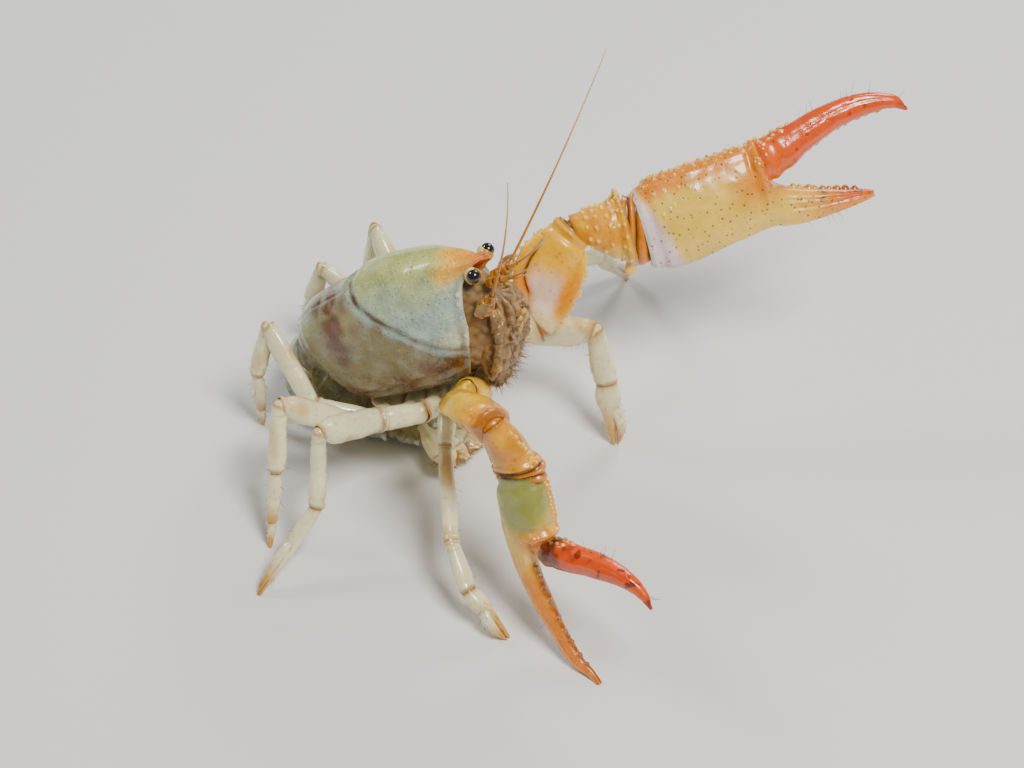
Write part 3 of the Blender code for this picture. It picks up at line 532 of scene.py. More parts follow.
# Finishes. Every one is wet cuticle: a hard, slightly clear skin under a film of water, so it shows
# a soft body colour with sharp highlights on top. A finish has a name, a base colour, painted layers
# of (attribute, colour, raggedness) and settings; a colour is a code or a name in the panel
CUTICLE_IOR = 1.54
WATER_ROUGHNESS = 0.05
LIGHT_DEPTH = 0.0008
GRAIN_HEIGHT = 0.00006
FACETS_PER_METRE = 14000.0
PALM_PIT_DEPTH = 0.75
PALM_LAYERS = (
    ("green", "#8f9344", 0.35), ("lilac", "lilac", 0.3), ("orange", "orange", 0.5), ("red", "red", 0.5),
    ("stain", "stain", 0.8), ("knob", "knob", 0.0), ("rim", "#f4efe6", 0.1),
)
FINISHES = {
    # Calcified cuticle of the back: cloudy and mottled, with brown mud in its grooves, painted shade along its lower
    # edge, and painted highlights on the rim round the eyes and on the beads below them
    "carapace": ("wet_cuticle_carapace", "flank", (
        ("cream", "#e2deaa", 0.5), ("dusk", "#84784e", 0.45), ("back", "back", 0.35), ("patch", "#f6ac00", 0.3),
        ("rose", "#e46a14", 0.4), ("stain", "#6c3c00", 0.35), ("rim", "#dcdcc8", 0.1), ("knob", "#e6e2b4", 0.0),
    ), {"mottle": 0.2, "pits": (0.5, 0.3), "gloss": (0.16, 0.42), "grain": 1.0, "granules_and_glints": 0.5}),
    # Orange cuticle of the claw arms, with pale tubercle tops
    "arm": ("wet_cuticle_claw_arm", "orange", (
        ("yellow", "#ffc800", 0.4), ("cream", "#f0e6a2", 0.4), ("lilac", "#f0d8bc", 0.35), ("joint", "joint", 0.4),
        ("stain", "stain", 0.7), ("knob", "knob", 0.0),
    ), {"pits": (0.9, 0.25)}),
    # Cream cuticle of the hands; the left one has fine dark pits
    LEFT: ("wet_cuticle_palm", "cream", PALM_LAYERS, {"coat": 0.35}),
    RIGHT: ("wet_cuticle_small_palm", "cream", PALM_LAYERS, {}),
    # Red cuticle of the movable fingers
    "finger": ("wet_cuticle_finger", "red", (
        ("orange", "#ea6a00", 0.5), ("knob", "knob", 0.0), ("stain", "#42180a", 0.7),
    ), {"pits": (1.1, 0.4), "gloss": (0.12, 0.26)}),
    # Thin ivory cuticle of the walking legs, clear enough to glow a little
    "leg": ("wet_cuticle_leg", "leg", (
        ("amber", "#d2941c", 0.5), ("joint", "#c48a30", 0.5), ("stain", "#966428", 0.8),
    ), {"pits": (1.2, 0.15), "soft": 0.35, "gloss": (0.12, 0.3)}),
    # Soft uncalcified cuticle folded in the joints: fold is painted shade in the creases, pale is the hinge's colour
    # and a painted highlight on the crests
    "joint": ("wet_soft_cuticle_joint", "joint", (("fold", "#4f2406", 0.4), ("pale", "#e98a04", 0.3)),
              {"mottle": 0.12, "soft": 0.4, "gloss": (0.2, 0.4), "grain": 0.3}),
    # Hairy brown cuticle of the mouthparts, dulled by mud; its dark layer is mud and also painted shade in the folds
    # and the pit of the mouth plates
    "mouth": ("muddy_cuticle_mouth", "mouth", (
        ("yellow", "#c49a34", 0.5), ("rose", "#96694a", 0.5), ("dark", "#38220e", 0.8),
    ), {"mottle": 0.3, "gloss": (0.25, 0.6), "coat": 0.4, "grain": 0.9}),
    # Clear amber cuticle of the feelers, thin enough to let light through; its pale layer also paints a highlight
    # crescent on the eye stalks
    "feeler": ("wet_cuticle_feeler", "feeler", (
        ("pale", "#e8cc78", 0.2), ("stain", "#5e3208", 0.5), ("knob", "#ecaa18", 0.0),
    ), {"mottle": 0.12, "soft": 0.35}),
    # Fine chitin hair, amber and half clear
    "bristle": ("chitin_bristle", "#957034", (("dark", "#4a2e14", 0.3),),
                {"soft": 0.0, "coat": 0.2, "grain": 0.1}),
}


def finish_of(kind):
    """Finish of one kind of surface, in the colours set in the panel."""
    if kind == "cornea":
        return bpy.data.materials.get("faceted_cornea") or cornea_finish()
    sizes, hue = chosen()
    name, base, layers, settings = FINISHES[kind]
    if kind == LEFT:
        settings = {**settings, "pits": (sizes.pit_spacing, PALM_PIT_DEPTH)}

    def tint(colour):
        return linear(colour) if colour.startswith("#") else getattr(hue, colour)

    layers = [(layer, tint(colour), ragged) for layer, colour, ragged in layers]
    return shell_finish(name, tint(base), layers, **settings)


def cornea_finish():
    """Clear cornea of many facets over black pigment; the facets are drawn coarser than real to show."""
    made, tree, place = blank_material("faceted_cornea")
    cells = add(tree, "ShaderNodeTexVoronoi", {"Vector": place, "Scale": FACETS_PER_METRE}).outputs["Distance"]
    bump = add(tree, "ShaderNodeBump", {"Strength": 0.08, "Distance": 0.00002, "Height": cells})
    plug(tree, tree.nodes["Principled BSDF"], {
        "Base Color": mixed(tree, cells, (0.004, 0.005, 0.007, 1.0), (0.02, 0.016, 0.014, 1.0)),
        "Normal": bump.outputs["Normal"], "Roughness": 0.07, "IOR": 1.45, "Coat Weight": 1.0, "Coat Roughness": 0.02,
    })
    return made


# Carapace


def carapace_skin(rows=230, sides=256):
    """The whole shell, from its rear edge to the tip of the rostrum."""
    sizes, _ = chosen()
    angle = np.arange(sides) * 360.0 / sides
    from_back = np.abs((angle - TOP + 180.0) % 360.0 - 180.0)
    forward = np.linspace(0.0, 1.0, rows)[:, None] * curve(FRONT_EDGE, from_back)[None, :]
    top = curve(DORSAL, forward)
    bottom = curve(VENTRAL, forward)
    middle = top - SHELL_MIDDLE * (top - bottom)
    cosine = np.cos(np.radians(angle))[None, :]
    sine = np.sin(np.radians(angle))[None, :]
    left = curve(HALF_WIDTH, forward) * np.sign(cosine) * np.abs(cosine) ** (2.0 / SHELL_POWER)
    reach = np.where(sine > 0.0, top - middle, middle - bottom)
    up = middle + reach * np.sign(sine) * np.abs(sine) ** (2.0 / SHELL_POWER)
    points = (
        np.array(BODY_POINT) + forward[..., None] * np.array(BODY_AXIS) + left[..., None] * np.array(BODY_LEFT)
        + up[..., None] * np.array(BODY_UP)
    )
    skin = Skin(points, np.linspace(0.0, 1.0, rows))
    round_back = np.broadcast_to(from_back[None, :], forward.shape)
    side_view = np.stack([forward.ravel(), up.ravel()], axis=1)
    gap = line_distance(side_view, GROOVE).reshape(forward.shape)
    edge = curve(FRONT_EDGE, from_back)[None, :] - forward
    fade = step_up(25.0 - forward, 1.0, 5.0)
    behind = step_up(-gap, 0.0, 0.5)
    lift = -THORAX_STEP * np.minimum(forward / 7.0, 1.0) * behind
    lift -= sizes.groove_depth * spot(gap, 0.0, 0.36) * fade
    lift += 0.1 * (spot(gap, 0.85, 0.5) + spot(gap, -0.9, 0.5)) * fade
    lift -= 0.12 * spot(np.abs(left), 1.35, 0.2) * step_up(-gap, 0.2, 1.4) * (up > 0.0) * step_up(forward, 0.5, 2.5)
    lift += 0.17 * spot(round_back, 129.0, 3.0) - 0.14 * spot(round_back, 121.0, 3.5)
    lift += 0.13 * spot(edge, 0.15, 0.3) - 0.1 * spot(edge, 0.95, 0.35)
    lift += 0.14 * spot(forward, 0.3, 0.4) - 0.12 * spot(forward, 1.3, 0.4)
    lift += 0.17 * spot(round_back, 27.0, 6.0) * step_up(forward, 20.5, 24.0)
    lift -= 0.14 * spot(round_back, 0.0, 11.0) * step_up(forward, 21.5, 25.0)
    lift += 0.16 * spot(round_back, 52.0, 4.0) * spot(forward, 22.0, 1.2)
    lift += 0.07 * clouds(points, 3.4) + 0.03 * clouds(points, 1.1, 7.0)
    wrinkle = spot(gap, -1.6, 1.2) * step_up(-up, -3.0, 3.0)
    lift -= 0.1 * wrinkle * np.abs(clouds(points, 0.8, 3.0))
    skin.push(lift)
    chance = random.Random(5)
    granules = []
    for _ in range(150):
        turn = chance.choice((LEFT, RIGHT)) * chance.uniform(58.0, 112.0) + TOP
        granules.append((chance.uniform(0.62, 0.93), turn, chance.uniform(0.6, 1.2)))
    skin.domes(granules, 0.24, 0.06, layer=None)
    # Beads along the front edge below the eyes; their pale tops are painted highlight
    beads = [(0.982, TOP + side * turn, size) for side in (LEFT, RIGHT)
             for turn, size in ((63.0, 1.0), (72.0, 0.8), (83.0, 0.7), (96.0, 0.7))]
    skin.domes(beads, 0.34, 0.26)
    broad = clouds(points, 4.5, 11.0)
    small = clouds(points, 1.3, 2.0)
    skin.paint("back", step_up(72.0 - round_back + 12.0 * broad, 0.0, 48.0) * (0.3 + 0.6 * step_up(gap, -0.5, 1.5)))
    skin.paint("dusk", (1.0 + 0.3 * small) * step_up(-gap, 0.2, 1.8) * step_up(round_back + 14.0 * broad, 0.0, 50.0))
    skin.paint("cream", step_up(round_back + 10.0 * small, 70.0, 115.0) * step_up(forward, 9.0, 20.0) * 0.7
               * step_up(gap, -0.8, 0.4))
    skin.paint("stain", spot(gap, -0.12, 0.3) * (0.6 + 0.9 * small) * fade)
    skin.paint("stain", spot(gap, -0.9, 0.8) * 0.6 * step_up(broad + small, 0.0, 0.8))
    for at_forward, at_up, wide, strong in ((6.9, 6.4, 1.2, 0.9), (7.0, 4.9, 1.4, 1.0), (6.5, 3.3, 1.3, 1.0),
                                            (5.9, 1.6, 1.0, 0.9), (4.7, 6.4, 1.1, 0.6), (14.9, -3.8, 1.8, 0.75),
                                            (18.0, -3.9, 1.2, 0.8), (3.0, -3.6, 2.0, 0.8), (10.5, -4.6, 2.0, 0.7),
                                            (9.3, 6.4, 0.9, 0.5), (9.6, 3.9, 0.8, 0.4)):
        far = np.sqrt((forward - at_forward) ** 2 + (up - at_up) ** 2)
        skin.paint("stain", 1.6 * strong * spot(far, 0.0, wide) * (1.0 + 0.5 * small))
    # Brown along the lower edge of the shell, mottled: partly mud, partly painted shade towards the underside
    skin.paint("stain", 0.8 * step_up(round_back, 104.0, 124.0) * step_up(broad + small, -0.6, 0.6))
    skin.paint("stain", 0.45 * spot(edge, 0.7, 0.4) * step_up(round_back, 80.0, 100.0))
    skin.paint("patch", step_up(forward + 0.4 * small, 20.2, 23.4) * step_up(up, 3.2, 5.0))
    skin.paint("rose", 0.85 * step_up(forward + 0.3 * small, 23.4, 26.0))
    # Pale band on the front edge round the eyes: a painted highlight on the wet orbit rim
    skin.paint("rim", 0.9 * spot(edge, 0.1, 0.3) * spot(round_back, 60.0, 15.0))
    skin.paint("rim", 0.4 * spot(forward, 0.25, 0.3) * step_up(110.0 - round_back, 0.0, 20.0))
    fold_in(skin, True, sizes.shell_thickness)
    fold_in(skin, False, sizes.shell_thickness)
    return skin


def fold_in(skin, front, thickness):
    """Turn a free edge of the shell inward, as thick as the shell, and run it back inside."""
    row = -1 if front else 0
    edge = skin.points[row]
    inward = -skin.normals()[row]
    onward = np.array(BODY_AXIS) * (1.0 if front else -1.0)
    steps = ((0.12, 0.09), (0.4, 0.13), (0.75, 0.08), (1.0, -0.08), (1.15, -0.7), (1.5, -1.8))
    skin.extend(front, np.array([edge + inward * into * thickness + onward * out for into, out in steps]))


def head_core_skin(rows=70, sides=120):
    """Flesh and inner plates that fill the shell's front, behind the eyes and the mouth."""
    forward = np.linspace(12.0, 24.2, rows)
    top = curve(DORSAL, forward) - 0.75
    bottom = curve(VENTRAL, forward) + 0.5
    middle = top - SHELL_MIDDLE * (top - bottom)
    close = np.sqrt(np.clip(1.0 - step_up(forward, 22.6, 24.25) ** 2, 0.02, 1.0))
    centres = [on_body(at, 0.0, mid) for at, mid in zip(forward, middle)]
    points = rounded(centres, BODY_LEFT, BODY_UP, (curve(HALF_WIDTH, forward) * 0.86) * close,
                     (top - middle) * close, sides, SHELL_POWER, (middle - bottom) * close)
    skin = Skin(points, forward)
    skin.push(0.12 * clouds(points, 0.9) + 0.06 * clouds(points, 0.4))
    skin.paint("dark", 0.1 + 0.6 * np.clip(clouds(points, 0.8, 4.0), 0.0, 1.0))
    return skin


# Eyes

EYE_PLACE = (25.35, 1.95, 3.5)
EYE_RADIUS = 0.8


def eye_frame(side):
    """Centre of an eye, and the directions of its axis, across it and up."""
    out = (BODY_AXIS * 0.55 + BODY_LEFT * side * 0.75 + BODY_UP * 0.28).normalized()
    across = out.cross(BODY_UP).normalized()
    forward, aside, up = EYE_PLACE
    return on_body(forward, aside * side, up), out, across, across.cross(out)


def turned_skin(centre, out, across, up, profile, rows, sides, flat=1.0):
    """Skin turned round an axis from a (place, radius) profile."""
    places = np.linspace(profile[0][0], profile[-1][0], rows)
    radii = np.maximum(curve(profile, places), 0.01)
    centres = [centre + out * at for at in places]
    return Skin(rounded(centres, across, up, radii, radii * flat, sides), places)


def build_eye(side):
    """Black cornea in the rim of its short stalk."""
    centre, out, across, up = eye_frame(side)
    label = SIDE_NAMES[side]
    angles = np.radians(np.linspace(-62.0, 89.0, 40))
    centres = [centre + out * (0.04 + EYE_RADIUS * 0.86 * math.sin(angle)) for angle in angles]
    radii = EYE_RADIUS * np.cos(angles)
    ball = Skin(rounded(centres, across, up, 0.93 * radii, 0.88 * radii, 64), angles)
    make_piece(f"cornea_{label}", ball, "cornea", (f"eye_{label}",))
    stalk = turned_skin(centre, out, across, up, (
        (-2.1, 0.5), (-1.6, 0.62), (-1.2, 0.66), (-0.8, 0.77), (-0.45, 0.82), (-0.2, 0.83), (-0.08, 0.79), (-0.02, 0.7),
    ), 60, 64)
    apart = stalk.points - np.array(centre)
    facing = apart @ np.array(BODY_UP * 0.5 - BODY_AXIS * 0.85)
    # Pale crescent on the side facing up and back: a painted highlight on the wet rim
    stalk.paint("pale", step_up(stalk.row_places, -0.9, -0.5) * step_up(facing, -0.1, 0.15))
    stalk.paint("knob", step_up(stalk.row_places, -0.9, -0.4) * step_up(-facing, -0.1, 0.3) * 0.5)
    stalk.paint("stain", 0.9 * step_up(stalk.row_places, -0.2, -0.1) * step_up(0.15 - facing, 0.0, 0.2))
    stalk.paint("stain", stalk.ring(-0.85, 0.14))
    stalk.push(0.03 * stalk.clouds(0.5) + 0.1 * step_up(facing, 0.0, 0.4) * stalk.ring(-0.3, 0.3))
    make_piece(f"eye_stalk_{label}", stalk, "feeler")


# Feelers


def route_curve(route, rows):
    """Smooth centres, tangents and distances along a route of points."""
    places = [0.0]
    for before, after in zip(route, route[1:]):
        places.append(places[-1] + (after - before).length)
    at = np.linspace(0.0, places[-1], rows)
    centres = np.stack(curves(places, route, at), axis=1)
    tangents = np.gradient(centres, axis=0)
    tangents /= np.linalg.norm(tangents, axis=1, keepdims=True)
    return centres, tangents, at, places


def route_skin(route, sections, across, rows, sides, power=2.0):
    """Tapering skin along a route, with (half across, half up) at each of its points."""
    centres, tangents, at, places = route_curve(route, rows)
    wide, high = curves(places, sections, at)
    side = np.array(across)[None, :] - tangents * (tangents @ np.array(across))[:, None]
    side /= np.linalg.norm(side, axis=1, keepdims=True)
    up = np.cross(tangents, side)
    return Skin(rounded(centres, side, up, wide, high, sides, power), at)


def feeler_route(start, first, last, length, count):
    """Points of a feeler that bends from its first direction to its last."""
    route = [start]
    for step in range(count - 1):
        share = (step + 0.5) / (count - 1)
        route.append(route[-1] + (first * (1.0 - share) + last * share).normalized() * (length / (count - 1)))
    return route


FEELERS = {
    LEFT: (direction(66.0, 50.0), direction(70.0, 56.0), 23.0),
    RIGHT: (direction(-14.0, 76.0), direction(-78.0, 81.0), 18.0),
}


def whip_skin(route, thick, thin, rings, sides=16):
    """Whip of a feeler, with a small step at each of its many rings."""
    count = len(route)
    sections = [(thick + (thin - thick) * (step / (count - 1)) ** 0.8,) * 2 for step in range(count)]
    skin = route_skin(route, sections, BODY_LEFT, rings * 5, sides)
    beat = (skin.along / skin.along[-1]) ** 0.85 * rings
    saw = (beat % 1.0)[:, None] * np.ones((1, sides))
    skin.push(skin.radius * (0.2 * saw - 0.1))
    skin.paint("stain", 0.6 * (saw < 0.22))
    skin.paint("pale", 0.8 * step_up(skin.shares, 0.25, 0.9))
    return skin


def segment_tube(route, sections, across, joints, rows=60, sides=32, ripple=0.04):
    """Skin along a route that is pinched where its segments meet."""
    skin = route_skin(route, sections, across, rows, sides)
    radius = skin.radius
    whole = skin.along[-1]
    lift = ripple * skin.clouds(0.6)
    for joint in joints:
        lift -= radius * 0.2 * skin.ring(joint * whole, 0.13)
        lift += radius * 0.08 * skin.ring(joint * whole - 0.3, 0.16)
        skin.paint("stain", skin.ring(joint * whole, 0.12))
    skin.push(lift)
    return skin


def build_feelers(side):
    """Long feeler on its stout base, its scale, and the two small feelers beside the rostrum."""
    sizes, _ = chosen()
    label = SIDE_NAMES[side]
    first, last, length = FEELERS[side]
    base = on_body(23.3, 2.75 * side, -0.3)
    stem = on_body(25.0, 2.5 * side, 0.3)
    tip = stem + first * 1.2
    stalk = segment_tube([base, base.lerp(stem, 0.45), stem, stem.lerp(tip, 0.6), tip],
                         ((0.62, 0.6), (0.84, 0.78), (0.7, 0.66), (0.5, 0.46), (0.27, 0.27)), BODY_LEFT, (0.36, 0.66))
    stalk.domes([(0.9, 60.0 * side, 1.0), (1.0, 200.0, 0.8), (1.9, 120.0, 0.8)], 0.24, 0.2)
    stalk.paint("stain", 0.6 * step_up(stalk.clouds(0.8, 2.0), -0.1, 0.5))
    stalk.finish_end(True, SOCKET_END)
    whip = whip_skin(feeler_route(stem + first * 0.9, first, last, length + 0.3, 12), 0.16, 0.05, sizes.feeler_rings)
    make_piece(f"feeler_{label}", [stalk, whip], "feeler", (f"antenna_{label}",))
    root = on_body(23.5, 3.3 * side, 0.1)
    end = on_body(26.2, 3.75 * side, 0.9)
    blade = route_skin([root, root.lerp(end, 0.35), root.lerp(end, 0.7), end],
                       ((0.32, 0.2), (0.62, 0.2), (0.5, 0.16), (0.06, 0.05)), BODY_UP, 50, 40, 2.2)
    blade.push(0.08 * blade.stripe(TOP, 30.0) + 0.03 * blade.clouds(0.7))
    blade.paint("yellow", 0.5 * step_up(blade.clouds(0.9, 2.0), -0.2, 0.6))
    make_piece(f"feeler_scale_{label}", blade, "mouth", (f"antennal_scale_{label}",))
    first = direction(12.0 * side, 40.0)
    last = direction(30.0 * side, 68.0)
    start = on_body(25.9, 0.75 * side, 1.4)
    foot = start - first * 0.9
    peduncle = segment_tube([foot, start, start + first * 1.1, start + first * 2.0],
                            ((0.5, 0.5), (0.5, 0.48), (0.4, 0.38), (0.24, 0.24)), BODY_LEFT, (0.35, 0.68))
    peduncle.finish_end(True, SOCKET_END)
    outer = whip_skin(feeler_route(start + first * 1.8, first, last, 6.2, 8), 0.14, 0.04, 26, 12)
    inner_first = (first + BODY_LEFT * side * 0.25 - BODY_UP * 0.1).normalized()
    inner = whip_skin(feeler_route(start + first * 1.8, inner_first, (last + BODY_AXIS * 0.5).normalized(), 4.4, 8),
                      0.12, 0.04, 20, 12)
    make_piece(f"small_feeler_{label}", [peduncle, outer, inner], "feeler", (f"antennule_{label}",))


# Bristles


def bristles(name, hairs, radius, finish="bristle"):
    """Many thin bent cones in one mesh; a hair is (root, way, length)."""
    places = []
    faces = []
    chance = random.Random(len(hairs))
    for root, way, length in hairs:
        way = way.normalized()
        side = way.orthogonal().normalized()
        side = Matrix.Rotation(chance.uniform(0.0, 6.28), 3, way) @ side
        bend = side * chance.uniform(-0.35, 0.35) * length
        begin = len(places)
        for share, thin in ((-0.12, 1.0), (0.3, 0.85), (0.65, 0.6), (1.0, 0.12)):
            centre = root + way * (share * length) + bend * max(share, 0.0) ** 2
            other = way.cross(side)
            for turn in (0.0, 90.0, 180.0, 270.0):
                angle = math.radians(turn)
                places.append(centre + (side * math.cos(angle) + other * math.sin(angle)) * radius * thin)
        for row in range(3):
            for turn in range(4):
                low = begin + row * 4
                after = (turn + 1) % 4
                faces.append((low + turn, low + after, low + 4 + after, low + 4 + turn))
        faces.append((begin + 3, begin + 2, begin + 1, begin))
        faces.append((begin + 12, begin + 13, begin + 14, begin + 15))
    data = bpy.data.meshes.new(name)
    data.from_pydata([(place.x * MM, place.y * MM, max(place.z, 0.0) * MM) for place in places], [], faces)
    place_piece(name, data, finish)


def hairs_on(skin, rows, turns, count, length, lean, seed):
    """Hairs at random places within ranges of rows and turns of a skin."""
    chance = random.Random(seed)
    middle = skin.points.mean(axis=1)
    made = []
    for _ in range(count):
        along = chance.uniform(*rows)
        turn = chance.uniform(*turns)
        root = Vector(skin.at(along, turn))
        row = min(int(np.interp(along, skin.along, np.arange(len(skin.along)))), len(middle) - 1)
        outward = (root - Vector(middle[row])).normalized()
        made.append((root, outward + lean, length * chance.uniform(0.5, 1.0)))
    return made


# Mouth

MOUTH_STATIONS = (
    ((17.6, -6.8), (18.5, -9.2), 2.4), ((18.3, -5.2), (20.6, -8.1), 2.9), ((20.0, -3.4), (22.8, -6.4), 3.0),
    ((22.2, -1.0), (24.4, -4.2), 2.1), ((23.5, 1.2), (25.2, -1.4), 1.2),
)


def build_mouth():
    """Mandibles and the folded plates above them, in one muddy form."""
    route = []
    sections = []
    for inner, outer, wide in MOUTH_STATIONS:
        inside = on_body(inner[0], 0.0, inner[1])
        outside = on_body(outer[0], 0.0, outer[1])
        route.append(inside.lerp(outside, 0.5))
        sections.append((wide, (outside - inside).length * 0.5, *(outside - inside).normalized()))
    centres, _, at, places = route_curve(route, 110)
    wide, high, *ups = curves(places, sections, at)
    ups = np.stack(ups, axis=1)
    ups /= np.linalg.norm(ups, axis=1, keepdims=True)
    skin = Skin(rounded(centres, BODY_LEFT, ups, wide, high, 180, 2.6), at)
    folds = np.cos(np.radians(skin.turns * 9.0) + 1.4 * skin.clouds(2.0))
    skin.push(0.14 * folds + 0.16 * skin.clouds(1.1) + 0.08 * skin.clouds(0.45, 5.0))
    mass = at[-1]
    skin.push(-0.5 * skin.stripe(TOP, 7.0) * skin.ring(0.45 * mass, 0.22 * mass))
    # Dark in the troughs of the folds and in the pressed-in pit: painted shade
    skin.paint("dark", step_up(-folds, -0.1, 1.0) * 0.7)
    skin.paint("dark", skin.stripe(TOP, 8.0) * skin.ring(0.4 * mass, 0.2 * mass))
    skin.paint("rose", step_up(0.35 * mass - skin.row_places, 0.0, 1.5) * 0.8)
    for turn, strong in ((68.0, 0.7), (112.0, 0.6)):
        skin.paint("yellow", strong * skin.stripe(turn, 12.0) * skin.ring(0.62 * mass, 0.8))
    make_piece("mouth_plates", skin, "mouth", ("mouth",))
    for side, label in SIDE_NAMES.items():
        root = on_body(23.0, 0.95 * side, -4.9)
        end = on_body(24.75, 0.5 * side, -3.9)
        sections = ((0.9, 0.6), (1.05, 0.75), (0.5, 0.35))
        jaw = route_skin([root, root.lerp(end, 0.5), end], sections, BODY_LEFT, 40, 48, 2.4)
        close_ends(jaw, DOME_END, DOME_END)
        jaw.push(0.06 * jaw.clouds(0.7))
        jaw.paint("yellow", 0.8)
        jaw.paint("dark", 0.5 * step_up(jaw.clouds(0.8, 4.0), 0.1, 0.7))
        make_piece(f"jaw_{label}", jaw, "mouth")


MAXILLIPED_ROUTE = ((17.0, 1.4, -8.9), (17.8, 1.4, -9.0), (19.4, 1.4, -8.0), (21.9, 1.45, -6.1), (23.8, 1.4, -4.2),
                    (24.8, 1.25, -3.0))
MAXILLIPED_SECTIONS = ((0.7, 0.5), (1.2, 0.75), (1.35, 0.85), (1.3, 0.85), (1.1, 0.75), (0.5, 0.4))


def build_mouth_limbs(side):
    """Outer mouth limbs folded before the mouth, with the thinner ones beside them and their hairs."""
    sizes, _ = chosen()
    label = SIDE_NAMES[side]
    route = [on_body(forward, aside * side, up) for forward, aside, up in MAXILLIPED_ROUTE]
    skin = segment_tube(route, MAXILLIPED_SECTIONS, BODY_LEFT, (0.6,), 120, 90, 0.2)
    skin.push(0.2 * skin.clouds(1.0, 3.0) + 0.09 * skin.clouds(0.35))
    inner_turn = 180.0 if side == LEFT else 0.0
    teeth = [(0.12 * skin.along[-1] + 0.42 * step, inner_turn, 1.0) for step in range(12)]
    skin.domes(teeth, 0.22, 0.16, layer="yellow")
    skin.paint("rose", 0.7 * step_up(skin.clouds(1.5), -0.2, 0.4))
    skin.paint("yellow", 0.5 * step_up(skin.clouds(0.9, 9.0), 0.25, 0.7))
    skin.paint("dark", 0.7 * step_up(skin.clouds(0.7, 6.0), -0.1, 0.4))
    skin.paint("dark", 0.6 * step_up(0.35 * skin.along[-1] - skin.row_places, 0.0, 1.5))
    close_ends(skin, DOME_END, DOME_END)
    make_piece(f"mouth_limb_{label}", skin, "mouth", (f"maxilliped_{label}",))
    hairs = hairs_on(skin, (0.5, skin.along[-1]), (inner_turn - 40.0, inner_turn + 40.0), 170, sizes.bristle_length,
                     BODY_UP * -0.3, 3 + side)
    hairs += hairs_on(skin, (0.2, 4.0), (220.0, 320.0), 40, sizes.bristle_length, BODY_AXIS * 0.2, 9 + side)
    bristles(f"mouth_hair_{label}", hairs, 0.035)
    matted = hairs_on(skin, (0.3, skin.along[-1]), (0.0, 360.0), 420, 0.32 * sizes.bristle_length,
                      UP * -1.9, 5 + side)
    bristles(f"mouth_mat_{label}", matted, 0.05, "mouth")
    slim = []
    for shift, aside, reach in ((0.0, 2.35, 1.0), (0.5, 2.75, 0.8)):
        points = ((18.6, 0.0, -8.4), (20.9, 0.15, -6.9), (22.9 + 0.4 * reach, 0.0, -4.2),
                  (24.1 * reach + 23.6 * (1.0 - reach), -0.45, -2.2), (24.1, -0.9, -1.2))
        path = [on_body(forward, (aside + left) * side, up + shift) for forward, left, up in points]
        limb = segment_tube(path, ((0.45, 0.4), (0.78, 0.6), (0.74, 0.6), (0.55, 0.45), (0.15, 0.15)), BODY_LEFT,
                            (0.62,), 90, 32, 0.14)
        limb.push(0.07 * limb.clouds(0.4, 4.0))
        limb.paint("yellow", 0.5 * step_up(limb.clouds(1.2), 0.0, 0.6))
        limb.paint("dark", 0.5 * step_up(limb.clouds(0.9, 8.0), 0.0, 0.8))
        slim.append(limb)
    make_piece(f"mouth_palp_{label}", slim, "mouth")
    matted = []
    for limb in slim:
        matted += hairs_on(limb, (0.3, limb.along[-1]), (0.0, 360.0), 140, 0.32 * sizes.bristle_length,
                           UP * -1.9, 15 + side)
    bristles(f"mouth_palp_mat_{label}", matted, 0.045, "mouth")


# Limbs

STERNUM_HALF_WIDTH = 2.5
STERNUM_DEPTH = 1.7
LIMB_BASES = {1: (16.2, -8.9), 2: (13.0, -9.0), 3: (9.9, -8.9), 4: (6.8, -8.5), 5: (3.8, -7.7)}
HIPS = {1: (16.4, 4.6, -7.25), 2: (12.95, 4.9, -8.25), 3: (9.65, 4.9, -7.8), 4: (6.45, 4.8, -7.4), 5: (3.15, 4.8, -6.5)}
LEG_STRETCHES = {
    (RIGHT, 2): ((4.9, -73, -9), (10.0, -66, -19), (5.0, -46, -37), (6.3, -17, 0)),
    (RIGHT, 3): ((5.0, -137, 12), (8.4, -118, 27), (8.1, -78, -65), (10.8, -115, 0)),
    (RIGHT, 4): ((5.5, -144, 9), (8.6, -141, 37), (7.0, -80, -60), (8.5, -83, 0)),
    (RIGHT, 5): ((6.3, -163, 15), (9.3, 149, 40), (6.0, -126, -72), (7.8, -56, 0)),
    (LEFT, 2): ((4.4, 62, -18), (9.5, 4, 15), (5.7, -43, -61), (7.6, -50, 0)),
    (LEFT, 3): ((5.1, 61, 16), (9.3, 58, 16), (8.5, 67, -33), (10.5, 75, 0)),
    (LEFT, 4): ((5.5, 138, 29), (9.0, 140, 35), (7.1, 135, -74), (8.5, 113, 0)),
    (LEFT, 5): ((4.7, 143, 25), (8.4, 178, 36), (5.9, 164, -72), (7.7, 157, 0)),
}
LEG_GIRTHS = {
    (RIGHT, 2): (1.1, 1.05, 0.95, 1.05, 1.15), (LEFT, 2): (1.2, 1.35, 1.6, 1.35, 1.42),
    (RIGHT, 3): (1.15, 1.25, 1.5, 1.0, 0.9), (LEFT, 3): (1.15, 1.25, 1.4, 1.0, 0.9),
    (RIGHT, 4): (1.1, 1.15, 1.35, 1.0, 0.75), (LEFT, 4): (1.1, 1.15, 1.35, 1.0, 0.75),
    (RIGHT, 5): (1.0, 1.05, 1.15, 1.0, 0.8), (LEFT, 5): (1.0, 1.05, 1.15, 1.0, 0.8),
}
